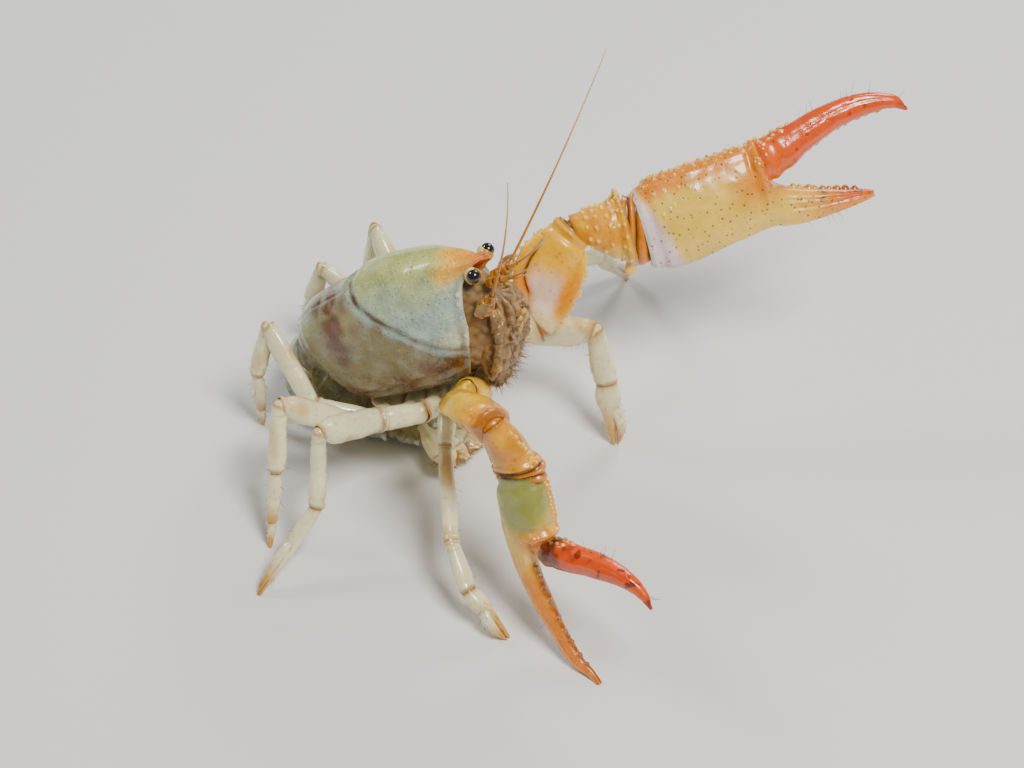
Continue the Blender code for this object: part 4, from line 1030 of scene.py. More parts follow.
# Stretches of a leg, with widths as (share of its length, half across, half up) in one of its girths
LEG_WIDTHS = (
    ("coxa", ((0.0, 0.85, 1.0, 0), (0.5, 0.9, 1.04, 0), (1.0, 0.9, 0.95, 1))),
    ("ischium", ((0.0, 0.8, 0.86, 1), (0.45, 0.8, 1.0, 1), (1.0, 0.688, 0.88, 2))),
    ("merus", ((0.0, 0.64, 0.82, 2), (0.2, 0.736, 0.97, 2), (0.5, 0.8, 1.0, 2), (0.8, 0.776, 0.98, 2),
               (1.0, 0.64, 0.86, 3))),
    ("carpus", ((0.0, 0.592, 0.77, 3), (0.3, 0.688, 0.87, 3), (0.8, 0.816, 1.02, 3), (1.0, 0.688, 0.9, 3))),
)
# Width of a leg's joint skin as a share of its height, and the place where the hind feet's finger starts
LEG_FLATNESS = 0.8
FINGER_SHARE = 0.66


def chain(start, stretches):
    """Joints reached from a start by (length, heading, rise) stretches."""
    joints = [start]
    for length, heading, rise in stretches:
        joints.append(joints[-1] + direction(heading, rise) * length)
    return joints


def hip(side, pair):
    """Joint between the first two stretches of a limb."""
    forward, aside, up = HIPS[pair]
    return on_body(forward, aside * side, up)


def limb_base(side, pair):
    """Point where a limb leaves the breast plates."""
    forward, up = LIMB_BASES[pair]
    return on_body(forward, (STERNUM_HALF_WIDTH + GAP) * side, up)


def mitre(joints, index):
    """Direction halfway between the two stretches that meet at a joint."""
    before = (joints[index] - joints[index - 1]).normalized()
    after = (joints[index + 1] - joints[index]).normalized()
    return (before + after).normalized()


def leg_joints(side, pair):
    """Joints from the sternum to the foot, whose last stretch comes down to the floor."""
    stretches = list(LEG_STRETCHES[(side, pair)])
    joints = [limb_base(side, pair)] + chain(hip(side, pair), stretches[:-1])
    length, heading, _ = stretches[-1]
    drop = math.degrees(math.asin(min(joints[-1].z / length, 0.999)))
    joints.append(joints[-1] + direction(heading, -drop) * length)
    joints[-1].z = 0.0
    return joints


def less_tilted(plane, along, most=24.0):
    """The joint's plane, turned to lie nearer square to the limb where the joint is sharply bent."""
    angle = math.degrees(plane.angle(along))
    return plane if angle <= most else along.slerp(plane, most / angle)


def limb_skin(start, end, planes, widths, across, rows=60, sides=48, power=2.0, gaps=(0.15, 0.15)):
    """One stretch of a limb; widths are (share of its length, half across, half up[, shift up])."""
    along = (end - start).normalized()
    side = (across - along * across.dot(along)).normalized()
    up = along.cross(side)
    shares = np.linspace(0.0, 1.0, rows)
    wide = curve([(width[0], width[1]) for width in widths], shares)
    high = curve([(width[0], width[2]) for width in widths], shares)
    shift = curve([(width[0], sum(width[3:])) for width in widths], shares)
    length = (end - start).length
    centres = np.array(start) + np.outer(shares * length, along) + np.outer(shift, up)
    points = rounded(centres, side, up, wide, high, sides, power)
    for plane, gap, weight in ((planes[0], gaps[0], np.clip(1.0 - shares / 0.4, 0.0, 1.0)),
                               (planes[1], -gaps[1], np.clip((shares - 0.6) / 0.4, 0.0, 1.0))):
        if plane is None:
            continue
        plane = less_tilted(plane, along)
        apart = (points - centres[:, None, :]) @ np.array(plane)
        move = (gap - apart) / along.dot(plane)
        points = points + (move * weight[:, None])[..., None] * np.array(along)
    skin = Skin(points, shares * length)
    skin.frame = (side, up, along)
    return skin


def joint_layers(skin, strong=1.0, reach=0.5):
    """Amber and brown at both ends of a stretch."""
    whole = skin.along[-1]
    ends = skin.ring(0.0, reach) + skin.ring(whole, reach)
    skin.paint("joint", strong * ends)
    skin.paint("stain", 0.8 * strong * (skin.ring(0.0, 0.16) + skin.ring(whole, 0.16)))


def joint_skin(before, joint, after, size, across, reach=0.95, folds=4):
    """Folded soft skin through a joint, its ends hidden inside the two stretches."""
    into = (joint - before).normalized()
    out = (after - joint).normalized()
    start = joint - into * reach
    end = joint + out * reach
    route = [start, joint - into * reach * 0.4, joint + out * reach * 0.4, end]
    wide, high = size
    skin = route_skin(route, ((wide, high),) * 4, across, 44, 40)
    beat = np.cos(skin.shares * 2.0 * math.pi * folds)
    skin.push(0.07 * beat + 0.02 * skin.clouds(0.5))
    # Darker in the creases and paler on the crests: painted shade and painted highlight on the folds; on the legs the
    # amber deepens in the creases as painted shade
    skin.paint("fold", step_up(-beat, 0.2, 1.0))
    skin.paint("pale", 0.5 * step_up(beat, 0.3, 1.0))
    skin.paint("amber", 0.4 + 0.3 * step_up(-beat, 0.2, 1.0))
    return skin


def build_leg(side, pair):
    """Walking leg: six hard stretches, the soft skin between them, and a few hairs."""
    joints = leg_joints(side, pair)
    girths = LEG_GIRTHS[(side, pair)]
    name = f"leg_{SIDE_NAMES[side]}_{pair}"
    bend = (joints[3] - joints[2]).cross(joints[4] - joints[3]).normalized()
    planes = [BODY_LEFT * side] + [mitre(joints, index) for index in range(1, 5)]
    hairs = []
    for index, (label, rows) in enumerate(LEG_WIDTHS):
        widths = [(share, across * girths[girth], up * girths[girth]) for share, across, up, girth in rows]
        skin = limb_skin(joints[index], joints[index + 1], planes[index:index + 2], widths, bend,
                         gaps=(0.0 if index == 0 else 0.12, 0.12))
        whole = skin.along[-1]
        skin.push(0.05 * skin.clouds(2.2) + 0.02 * skin.clouds(0.8)
                  + 0.07 * skin.ring(whole - 0.2, 0.25) + 0.05 * skin.ring(0.2, 0.25)
                  - 0.06 * skin.ring(whole - 0.75, 0.3)
                  + 0.16 * (skin.stripe(0.0, 16.0) + skin.stripe(180.0, 16.0)) * skin.ring(whole, 0.5))
        joint_layers(skin, 0.55, 0.3)
        skin.paint("amber", 0.5 * step_up(skin.clouds(3.0, 9.0), 0.2, 0.9))
        hairs += hairs_on(skin, (0.2 * whole, 0.95 * whole), (200.0, 340.0), 10, 0.9, UP * -0.6, 17 * pair + index)
        replaced = (f"{name}_{label}",) if label in ("merus", "carpus") else ()
        make_piece(f"{name}_{label}_shell", close_ends(skin), "leg", replaced)
    soft = []
    sizes = (0.86 * girths[1], 0.78 * girths[2], 0.8 * girths[3], 0.76 * min(girths[4], girths[3]))
    for index, size in enumerate(sizes, 1):
        soft.append(joint_skin(*joints[index - 1:index + 2], (LEG_FLATNESS * size, size), bend, folds=2))
    make_piece(f"{name}_joint_skin", soft, "leg")
    hairs += build_foot(name, joints, planes[4], bend, girths[4], pair)
    bristles(f"{name}_hair", hairs, 0.022)


def in_girths(rows, girth):
    """Widths given in girths, turned into millimetres."""
    return [(share, across * girth, up * girth) for share, across, up in rows]


def build_foot(name, joints, plane, bend, propodus, pair):
    """Last stretch of a leg, with its finger; the front pairs end in a small claw."""
    wrist, tip = joints[4], joints[5]
    along = (tip - wrist).normalized()
    if pair < 4:
        widths = in_girths(((0.0, 0.64, 0.8), (0.25, 0.8, 1.0), (0.5, 0.704, 0.62), (0.8, 0.4, 0.4)), propodus)
        hand = limb_skin(wrist, tip, (plane, -UP), widths + [(1.0, FOOT_FLAT, FOOT_FLAT)], bend, rows=90,
                         gaps=(0.12, 0.0))
        across = (bend - along * bend.dot(along)).normalized()
        outward = along.cross(across)
        if outward.z < 0.0:
            outward = -outward
        length = (tip - wrist).length
        route = []
        sections = []
        for share, aside, size in ((0.36, 0.1, 0.42), (0.5, 0.6, 0.44), (0.62, 0.78, 0.4), (0.78, 0.72, 0.32),
                                   (0.93, 0.5, 0.16), (0.97, 0.42, 0.06)):
            route.append(wrist + along * (length * share) + outward * (propodus * aside))
            sections.append((propodus * size * 1.3, propodus * size))
        finger = route_skin(route, sections, across, 60, 36)
        finger.finish_end(True, DOME_END)
        finger.paint("amber", step_up(finger.shares, 0.35, 0.9))
        finger.paint("stain", 0.6 * finger.stripe(BOTTOM, 25.0))
        edge_turn = 90.0 if hand.frame[1].dot(outward) > 0.0 else 270.0
        hand.push(-0.14 * hand.stripe(edge_turn, 26.0) * step_up(hand.row_places / length, 0.4, 0.55))
        hand.paint("stain", 0.8 * hand.stripe(edge_turn, 24.0)
                   * step_up(hand.row_places / length, 0.42, 0.55))
    else:
        middle = wrist.lerp(tip, FINGER_SHARE)
        widths = in_girths(((0.0, 0.64, 0.8), (0.3, 0.8, 1.0), (0.75, 0.688, 0.9), (1.0, 0.576, 0.74)), propodus)
        hand = limb_skin(wrist, middle, (plane, None), widths, bend, rows=70, gaps=(0.12, 0.1))
        widths = in_girths(((0.0, 0.48, 0.64), (0.35, 0.496, 0.62), (0.8, 0.4, 0.4)), propodus)
        finger = limb_skin(middle, tip, (None, -UP), widths + [(1.0, 0.2, 0.2)], bend, rows=50, sides=36,
                           gaps=(0.1, 0.0))
        finger.paint("amber", step_up(finger.shares, 0.2, 0.85))
    finger.push(0.02 * finger.clouds(0.8))
    hand.push(0.04 * hand.clouds(2.0) + 0.02 * hand.clouds(0.8))
    for skin in (hand, finger):
        skin.paint("joint", 0.8 * skin.ring(0.0, 0.35))
        skin.paint("stain", 0.7 * skin.ring(0.0, 0.14))
        skin.stand()
    hand.paint("amber", 0.9 * step_up(hand.shares, *((0.1, 0.75) if pair == 2 else (0.6, 0.98))))
    hairs = hairs_on(hand, (0.2 * hand.along[-1], hand.along[-1]), (0.0, 360.0), 26, 0.8, along * 0.9, 31 + pair)
    hairs += hairs_on(finger, (0.1 * finger.along[-1], 0.9 * finger.along[-1]), (0.0, 360.0), 22, 0.6, along * 1.2,
                      51 + pair)
    hand.finish_end(False, SOCKET_END)
    make_piece(f"{name}_hand", hand, "leg", (f"{name}_propodus",))
    make_piece(f"{name}_finger", finger, "leg")
    return [hair for hair in hairs if hair[0].z > 0.9]


# Claws

ARM_STRETCHES = {
    LEFT: ((4.3, 29, -5), (10.9, 79, 50), (6.9, 19, 0)),
    RIGHT: ((4.3, -84, 29), (11.0, -47, 35), (5.8, -2, -61)),
}
ARM_FLAT_SIDE = {LEFT: (-68.0, 44.0), RIGHT: (-60.0, 20.0)}
ARM_SCALE = {LEFT: 1.0, RIGHT: 0.8}
MERUS_BULGE = {LEFT: -0.9, RIGHT: 0.0}
# Rows of tubercles on the merus, as (turn, count, size)
MERUS_KNOBS = {
    LEFT: ((80.0, 15, 1.0), (278.0, 13, 0.9), (262.0, 9, 0.6), (97.0, 10, 0.6)),
    RIGHT: ((132.0, 13, 0.85), (146.0, 9, 0.6)),
}
MERUS_WIDTH = {LEFT: 1.0, RIGHT: 1.15}
MERUS_DEPTH = {LEFT: 1.0, RIGHT: 1.35}
# Turn at which a fine groove runs along the merus
MERUS_LINE = 313.0
HAND_AXIS = {LEFT: (32.5, 11.5), RIGHT: (-48.5, -57.5)}
HAND_UP = {LEFT: (139.0, 54.0), RIGHT: (-10.7, 25.3)}
HAND_STATIONS = {
    LEFT: (
        (0.3, -0.2, 3.9, 2.0), (1.6, -0.1, 4.8, 2.5), (5.0, 0.0, 4.95, 2.8), (9.0, 0.3, 4.75, 2.8),
        (12.0, 0.5, 4.6, 2.5), (13.4, 0.45, 4.5, 2.3), (14.5, -1.8, 2.4, 1.9), (17.0, -2.7, 1.75, 1.5),
        (20.0, -3.2, 1.25, 1.15), (22.6, -3.5, 0.8, 0.75), (24.2, -3.7, 0.25, 0.25),
    ),
    RIGHT: (
        (0.3, -0.1, 2.2, 1.5), (1.3, -0.15, 2.55, 1.9), (3.5, -0.2, 2.7, 2.1), (6.0, -0.3, 2.8, 2.1),
        (6.9, -0.35, 2.65, 1.9), (7.8, -1.4, 1.6, 1.5), (9.2, -1.7, 1.2, 1.3), (11.2, -1.5, 1.05, 1.1),
        (13.2, -1.0, 1.0, 1.0), (15.0, -0.4, 0.95, 0.9), (17.0, 0.4, 0.85, 0.8), (19.0, 1.3, 0.75, 0.65),
        (20.6, 2.3, 0.6, 0.5), (21.6, 3.5, 0.4, 0.36),
    ),
}
FINGER_STATIONS = {
    LEFT: (
        (13.75, 2.8, 2.1, 1.75), (16.2, 3.5, 2.15, 1.7), (18.6, 4.3, 1.7, 1.5), (21.4, 5.1, 1.45, 1.3),
        (24.4, 5.5, 1.25, 1.1), (26.8, 5.3, 1.0, 0.9), (28.6, 4.7, 0.65, 0.6), (29.4, 3.9, 0.2, 0.2),
    ),
    RIGHT: (
        (8.6, 0.9, 1.1, 1.05), (8.8, 2.2, 1.55, 1.4), (9.1, 3.8, 1.55, 1.35), (9.4, 5.4, 1.4, 1.2),
        (9.8, 7.2, 1.3, 1.1), (10.4, 9.1, 1.1, 0.95), (11.3, 10.7, 0.85, 0.75), (12.4, 11.9, 0.55, 0.5),
        (13.5, 12.4, 0.2, 0.2),
    ),
}
FINGER_FROM = {LEFT: 14.6, RIGHT: 7.8}
RIGHT_CLAW_REST = Vector((16.52, -28.3, 0.0))


def hand_frame(side, wrist):
    """Wrist of a claw, and the directions along its hand, up and outward."""
    axis = direction(*HAND_AXIS[side])
    hint = direction(*HAND_UP[side])
    up = (hint - axis * hint.dot(axis)).normalized()
    return wrist, axis, up, axis.cross(up)


def arm_joints(side):
    """Joints of a claw's arm, from the breast plates to the wrist."""
    return [limb_base(side, 1)] + chain(hip(side, 1), ARM_STRETCHES[side])


def scattered(rows, seed):
    """Places for tubercles from (first, last, turn, count, size) rows, a little uneven."""
    chance = random.Random(seed)
    places = []
    for first, last, turn, count, size in rows:
        for step in range(count):
            share = (step + 0.5 + chance.uniform(-0.18, 0.18)) / count
            places.append((first + (last - first) * share, turn + chance.uniform(-4.0, 4.0),
                           size * chance.uniform(0.8, 1.2)))
    return places


def build_arm(side):
    """Base, paddle and wrist block of a claw arm, with their tubercles and soft joints."""
    sizes, _ = chosen()
    joints = arm_joints(side)
    size = ARM_SCALE[side]
    name = f"claw_{SIDE_NAMES[side]}"
    bulge = MERUS_BULGE[side]
    flat = direction(*ARM_FLAT_SIDE[side])
    _, axis, up, thick = hand_frame(side, joints[4])
    planes = [BODY_LEFT * side] + [mitre(joints, index) for index in range(1, 4)]
    bare = 0.75 if side == RIGHT else 0.0
    coxa = limb_skin(joints[0], joints[1], (planes[0], planes[1]), ((0.0, 1.2, 1.3), (0.5, 1.3, 1.4), (1.0, 1.2, 1.35)),
                     flat, gaps=(0.0, 0.12))
    ischium = limb_skin(joints[1], joints[2], (planes[1], planes[2]),
                        ((0.0, 1.05, 1.2), (0.5, 1.2, 1.45), (1.0, 1.25 * size, 1.6 * size)), flat, rows=70, sides=64,
                        gaps=(0.12, 0.15))
    for skin in (coxa, ischium):
        skin.push(0.06 * skin.clouds(1.6) + 0.03 * skin.clouds(0.6)
                  + 0.12 * skin.ring(skin.along[-1] - 0.25, 0.3))
        skin.paint("cream", 0.85 - bare)
        skin.paint("yellow", bare + 0.5 * step_up(skin.clouds(2.0, 3.0), -0.1, 0.8))
        joint_layers(skin, 0.8 - 0.7 * bare, 0.35)
    length = ischium.along[-1]
    ischium.domes(scattered(((0.4, length - 0.4, 100.0, 5, 1.0), (0.5, length - 0.4, 262.0, 6, 0.8)), 4), 0.32, 0.22)
    make_piece(f"{name}_coxa_shell", close_ends(coxa), "arm")
    make_piece(f"{name}_ischium_shell", close_ends(ischium), "arm", (f"{name}_ischium",))

    broad = MERUS_WIDTH[side] * size
    deep = MERUS_DEPTH[side] * size
    widths = ((0.0, 1.2 * size, 1.5 * size), (0.22, 1.7 * deep, 2.7 * broad, 0.5 * bulge),
              (0.45, 1.9 * deep, 3.5 * broad, bulge), (0.68, 1.9 * deep, 3.3 * broad, 0.8 * bulge),
              (1.0, 1.4 * deep, 1.5 * deep))
    merus = limb_skin(joints[2], joints[3], (planes[2], planes[3]), widths, flat, rows=150, sides=150, power=2.15)
    whole = merus.along[-1]
    share = merus.shares
    from_face = merus.turned_from(0.0)
    face = step_up(62.0 - from_face, 0.0, 14.0) * step_up(share, 0.06, 0.25) * step_up(0.86 - share, 0.0, 0.2)
    merus.push(-0.5 * size * face + 0.1 * merus.clouds(2.4) + 0.03 * merus.clouds(0.8)
               + 0.35 * size * (merus.stripe(66.0, 12.0) + merus.stripe(294.0, 12.0)) * step_up(share, 0.1, 0.3)
               - 0.25 * size * merus.stripe(MERUS_LINE, 4.5) * step_up(share, 0.15, 0.3)
               * step_up(0.82 - share, 0.0, 0.1)
               + 0.3 * spot(share, 0.965, 0.03) - 0.2 * spot(share, 0.9, 0.03))
    rows = [(0.1 * whole, 0.93 * whole, turn, count, big) for turn, count, big in MERUS_KNOBS[side]]
    merus.domes(scattered(rows, 11 + side), 0.3 * size, sizes.tubercle_height * 1.2 * size)
    inner = 0.85 if side == LEFT else 0.0
    merus.paint("lilac", inner * step_up(44.0 - from_face, 0.0, 26.0) * step_up(share, 0.02, 0.2)
                * step_up(0.66 - share, 0.0, 0.3))
    merus.paint("stain", merus.stripe(MERUS_LINE, 4.0) * step_up(share, 0.12, 0.3)
                * step_up(0.84 - share, 0.0, 0.1) * 0.95)
    merus.paint("cream", (0.8 - bare) * step_up(0.3 - share, 0.0, 0.3))
    if side == RIGHT:
        merus.paint("yellow", 0.95 * step_up(1.1 - share, 0.0, 0.5) * step_up(merus.turned_from(139.0), 16.0, 60.0))
    else:
        merus.paint("yellow", 0.7 * step_up(share, 0.3, 0.75) + 0.3 * step_up(merus.clouds(2.6, 5.0), 0.0, 0.7))
    joint_layers(merus, 0.5, 0.35)
    close_ends(merus, last=DOME_END if side == RIGHT else SOCKET_END)
    make_piece(f"{name}_merus_shell", merus, "arm", (f"{name}_merus",))

    along = (joints[4] - joints[3]).normalized()
    stem = 1.4 * size if side == LEFT else 1.7 * size
    flare = 1.0 if side == LEFT else 0.82
    widths = ((0.0, stem, stem), (0.45, 2.1 * size, 2.45 * size), (0.8, 2.3 * size, 3.4 * size * flare),
              (1.0, 2.05 * size, 3.75 * size * flare))
    bare_fold = 1.2 if side == LEFT else 0.35
    carpus = limb_skin(joints[3], joints[4] - along * bare_fold, (planes[3], axis), widths, thick, rows=120, sides=150,
                       power=2.2, gaps=(0.15, 0.1))
    whole = carpus.along[-1]
    high_turn = 90.0 if carpus.frame[1].dot(up) > 0.0 else 270.0
    way = 1.0 if high_turn == 90.0 else -1.0
    carpus.push(0.12 * carpus.clouds(2.0) + 0.03 * carpus.clouds(0.7)
                + 0.3 * size * carpus.ring(whole - 0.35, 0.35)
                - 0.16 * size * carpus.ring(whole - 1.1, 0.35))
    rows = []
    for turn, count, big in ((0.0, 8, 1.0), (26.0, 5, 0.8), (-26.0, 6, 0.9), (-54.0, 5, 0.9), (-82.0, 4, 0.8),
                             (-112.0, 4, 0.8), (-140.0, 3, 0.8), (54.0, 4, 0.7)):
        if side == LEFT or abs(turn) < 20.0:
            rows.append((0.16 * whole, 0.95 * whole, high_turn + way * turn, count, big))
    rows.append((whole - 0.35, whole - 0.3, high_turn - way * 20.0, 1, 0.9))
    for turn in range(-140, 61, 20) if side == LEFT else ():
        rows.append((whole - 0.5, whole - 0.4, high_turn + way * turn, 1, 0.75))
    carpus.domes(scattered(rows, 21 + side), 0.31 * size, 0.9 * sizes.tubercle_height * size)
    if side == LEFT:
        carpus.domes([(whole - 0.4, high_turn + 180.0, 1.0)], 0.75, 1.1, sharp=1.8)
    else:
        carpus.paint("joint", 0.5 * carpus.ring(0.5 * whole, 0.3 * whole))
    carpus.paint("yellow", 0.3 + 0.4 * step_up(carpus.clouds(1.6, 8.0), -0.2, 0.8))
    carpus.paint("cream", 0.5 * step_up(carpus.turned_from(high_turn), 120.0, 160.0))
    joint_layers(carpus, 0.4, 0.3)
    close_ends(carpus)
    make_piece(f"{name}_carpus_shell", carpus, "arm", (f"{name}_carpus",))

    soft = [
        joint_skin(joints[0], joints[1], joints[2], (0.95, 1.05), flat),
        joint_skin(joints[1], joints[2], joints[3], (1.12 * size, 1.4 * size), flat),
        joint_skin(joints[2], joints[3], joints[4], (0.84 * stem, 0.84 * stem), flat, 1.3),
    ]
    first = joints[4] - along * (bare_fold + 0.7)
    last = joints[4] + axis * 1.3
    fold = route_skin([first, joints[4] - along * 0.6 * bare_fold, joints[4] + axis * 0.2, last],
                      ((1.75 * size, 3.3 * size), (1.98 * size, 3.7 * size), (1.85 * size, 3.7 * size),
                       (1.7 * size, 3.4 * size)), thick, 110, 120, 2.2)
    beat = np.cos(fold.row_places * 2.0 * math.pi / 0.95 + 0.6 * fold.clouds(2.5))
    fold.push(0.14 * beat * size + 0.04 * fold.clouds(0.8))
    # Dark in the creases and pale on the crests of the wrist folds: painted shade and painted highlight
    fold.paint("fold", step_up(-beat, 0.6, 1.0))
    fold.paint("pale", 0.75 * step_up(beat, -0.5, 0.6))
    make_piece(f"{name}_joint_skin", soft + [fold], "joint")


def station_skin(frame_of_hand, stations, rows, sides, power, last=None, lean_from=None):
    """Skin through (along, centre up, half height, half thickness) stations of a hand."""
    wrist, axis, up, thick = frame_of_hand
    route = [wrist + axis * along + up * centre for along, centre, _, _ in stations]
    sections = [(high, depth) for _, _, high, depth in stations]
    if last is not None:
        route.append(last)
        sections.append((FOOT_FLAT, FOOT_FLAT))
    centres, tangents, at, places = route_curve(route, rows)
    high, depth = curves(places, sections, at)
    along = (centres - np.array(wrist)) @ np.array(axis)
    leans = np.arctan2(tangents @ np.array(up), tangents @ np.array(axis))
    if lean_from is not None:
        leans = leans * step_up(along, lean_from, lean_from + 1.6)
    ups = np.cos(leans)[:, None] * np.array(up) - np.sin(leans)[:, None] * np.array(axis)
    return Skin(rounded(centres, thick, ups, depth, high, sides, power), at)


def hand_places(skin, frame_of_hand):
    """Along and up of every point of a hand's skin, from the wrist."""
    wrist, axis, up, _ = frame_of_hand
    apart = skin.points - np.array(wrist)
    return apart @ np.array(axis), apart @ np.array(up)


def build_hand(side):
    """Hand with its fixed finger, and the movable finger hinged above it."""
    sizes, _ = chosen()
    size = ARM_SCALE[side]
    name = f"claw_{SIDE_NAMES[side]}"
    frame_of_hand = hand_frame(side, arm_joints(side)[4])
    length = HAND_STATIONS[side][5 if side == LEFT else 4][0]
    rest = RIGHT_CLAW_REST if side == RIGHT else None
    palm = station_skin(frame_of_hand, HAND_STATIONS[side], 320, 190, 2.3, rest, FINGER_FROM[side])
    along, high = hand_places(palm, frame_of_hand)
    tall = HAND_STATIONS[side][2][2]
    from_top = palm.turned_from(TOP)
    before_end = step_up(length - 0.2 - along, 0.0, 0.8)
    finger = step_up(along, length + 0.8, length + 2.2)
    palm.push(0.1 * size * palm.clouds(3.5) + 0.03 * palm.clouds(1.0)
              + 0.3 * size * spot(along, length - 0.15, 0.3) * step_up(high, -0.5 * tall, 0.1 * tall)
              - 0.2 * size * spot(along, length - 0.95, 0.35) * step_up(high, -0.4 * tall, 0.1 * tall)
              + 0.22 * size * palm.stripe(120.0, 8.0) * before_end
              + (0.22 * palm.stripe(60.0, 8.0) * before_end if side == LEFT else 0.0)
              + 0.16 * size * palm.stripe(BOTTOM, 8.0, 30.0) * step_up(along, 1.0, 3.0)
              - 0.14 * size * palm.stripe(0.0, 9.0) * finger
              - 0.1 * size * palm.stripe(20.0, 6.0) * finger
              + 0.2 * size * spot(along, 0.55, 0.3) - 0.16 * size * spot(along, 1.35, 0.4))
    rows = [(0.6, length - 0.6, 104.0, 14, 0.9), (0.7, length - 0.6, 121.0, 11, 0.7)]
    if side == LEFT:
        rows = [(0.6, length - 0.6, 84.0, 15, 0.95), (0.7, length - 0.6, 101.0, 12, 0.8),
                (0.8, length - 1.0, 66.0, 11, 0.75), (0.8, length - 1.0, 120.0, 9, 0.7),
                (1.2, length - 1.0, BOTTOM, 12, 0.45), (1.2, 0.45 * length, 40.0, 4, 0.75),
                (1.9, 0.3 * length, 14.0, 3, 0.75), (1.2, 0.5 * length, 140.0, 4, 0.6)]
    palm.domes(scattered(rows, 31 + side), 0.28 * size, 0.85 * sizes.tubercle_height * size)
    knob_turn = 30.0
    palm.domes([(length - 0.6, knob_turn, 1.0), (length - 0.6, 180.0 - knob_turn, 0.9)], 0.85 * size, 0.42 * size, None)
    whole = palm.along[-1]
    rows = ((length + 3.2, whole - 1.6, 88.0, 9, 1.0), (length + 4.5, whole - 2.5, 100.0, 5, 0.6))
    palm.domes(scattered(rows, 51 + side), 0.42 * size, 0.36 * size, layer=None, sharp=1.1)
    pale = palm.clouds(1.4, 3.0)
    crescent = (1.9 - 0.35 * high / size) * size - along
    if side == LEFT:
        palm.paint("lilac", step_up(crescent + 0.2 * pale, -0.7, 0.7))
        palm.paint("rim", 0.8 * spot(along, 0.45, 0.22))
    else:
        oval = np.hypot((along - 0.42 * length) / (0.66 * length), (high - 0.1 * tall) / (1.35 * tall))
        palm.paint("green", 0.95 * step_up(1.0 + 0.06 * pale - oval, 0.0, 0.4))
        palm.paint("stain", 0.7 * spot(along, 0.5, 0.22))
        palm.paint("orange", 0.8 * spot(along, length + 0.3, 1.1) * step_up(high, -0.7 * tall, 0.0))
    ridge = step_up(high + 0.4 * pale, 0.4 * tall, 0.85 * tall)
    if side == RIGHT:
        ridge = step_up(34.0 + 10.0 * pale - palm.turned_from(118.0), 0.0, 34.0)
    palm.paint("orange", 0.95 * ridge * step_up(length + 0.5 - along, 0.0, 1.0))
    hinge_from = 0.62 if side == LEFT else 0.9
    palm.paint("orange", 0.95 * step_up(along + 0.6 * pale, hinge_from * length, 0.96 * length)
               * step_up(high, -0.5 * tall, 0.3 * tall))
    palm.paint("orange", 0.85 * step_up(along + 0.4 * pale, length + 1.0, length + 7.0 * size))
    palm.paint("red", (0.7 if side == LEFT else 0.2)
               * step_up(along + 0.6 * pale, length + 5.0 * size, length + 9.0 * size)
               * step_up(palm.turned_from(BOTTOM), 40.0, 110.0))
    palm.paint("stain", 0.85 * spot(from_top, 0.0, 34.0) * step_up(along + 0.8 * pale, length + 2.6, length + 5.5)
               * (0.25 if side == LEFT else 0.75))
    if side == LEFT:
        for at, reach in ((length + 8.4, 0.8), (length + 5.4, 0.45), (length + 9.6, 0.4)):
            palm.paint("stain", palm.stripe(40.0, 44.0) * spot(along + 0.5 * pale, at, reach)
                       * step_up(palm.clouds(0.7, 12.0), -0.2, 0.3))
    palm.paint("stain", 0.6 * palm.stripe(BOTTOM, 24.0) * spot(along + 0.8 * pale, 3.0, 1.3))
    palm.finish_end(False, SOCKET_END)
    make_piece(f"{name}_palm_shell", palm, side, (f"{name}_palm",))

    stations = FINGER_STATIONS[side]
    wrist, axis, up, thick = frame_of_hand
    finger = station_skin(frame_of_hand, stations, 220, 120, 2.15)
    whole = finger.along[-1]
    share = finger.shares
    finger.push(0.06 * finger.clouds(2.2) + 0.02 * finger.clouds(0.8)
                - 0.07 * size * finger.stripe(22.0, 10.0) * step_up(share, 0.1, 0.25)
                * step_up(0.95 - share, 0.0, 0.2)
                - 0.13 * size * finger.stripe(158.0, 8.0) * step_up(share, 0.1, 0.25)
                + 0.07 * size * finger.stripe(52.0, 12.0) * step_up(0.9 - share, 0.0, 0.2)
                + 0.2 * size * spot(share, 0.045, 0.03) - 0.1 * size * spot(share, 0.11, 0.03))
    teeth = scattered(((0.25 * whole, 0.86 * whole, BOTTOM, 8, 1.0),), 61 + side)
    finger.domes(teeth, 0.4 * size, 0.16 * size, layer=None)
    finger.domes(scattered(((0.03 * whole, 0.3 * whole, TOP, 5, 1.0), (0.03 * whole, 0.24 * whole, TOP - 26.0, 4, 0.8),
                            (0.03 * whole, 0.24 * whole, TOP + 26.0, 4, 0.8)), 71 + side), 0.36 * size, 0.26 * size)
    finger.domes([(0.05 * whole, 40.0, 1.0), (0.05 * whole, 140.0, 1.0)], 0.6 * size, 0.16 * size, None)
    finger.paint("orange", 0.8 * step_up(0.35 - share, 0.0, 0.35))
    finger.paint("orange", 0.5 * finger.stripe(BOTTOM, 55.0))
    finger.paint("stain", 0.35 * step_up(share + 0.06 * finger.clouds(1.0), 0.94, 1.0))
    finger.paint("orange", 0.25 + 0.2 * finger.clouds(1.5, 6.0))
    if side == RIGHT:
        finger.paint("stain", 0.85 * step_up(0.3 + 0.1 * finger.clouds(1.0) - share, 0.0, 0.2))
        finger.paint("stain", 0.7 * step_up(finger.clouds(0.8, 9.0), 0.45, 0.7))
    finger.paint("stain", 0.6 * finger.stripe(BOTTOM, 26.0)
                 * step_up(finger.clouds(1.2, 4.0), -0.2, 0.6) * step_up(share, 0.3, 0.5))
    close_ends(finger, last=DOME_END)
    make_piece(f"{name}_finger", finger, "finger", (f"{name}_dactyl",))
    first = Vector(finger.points[8].mean(axis=0))
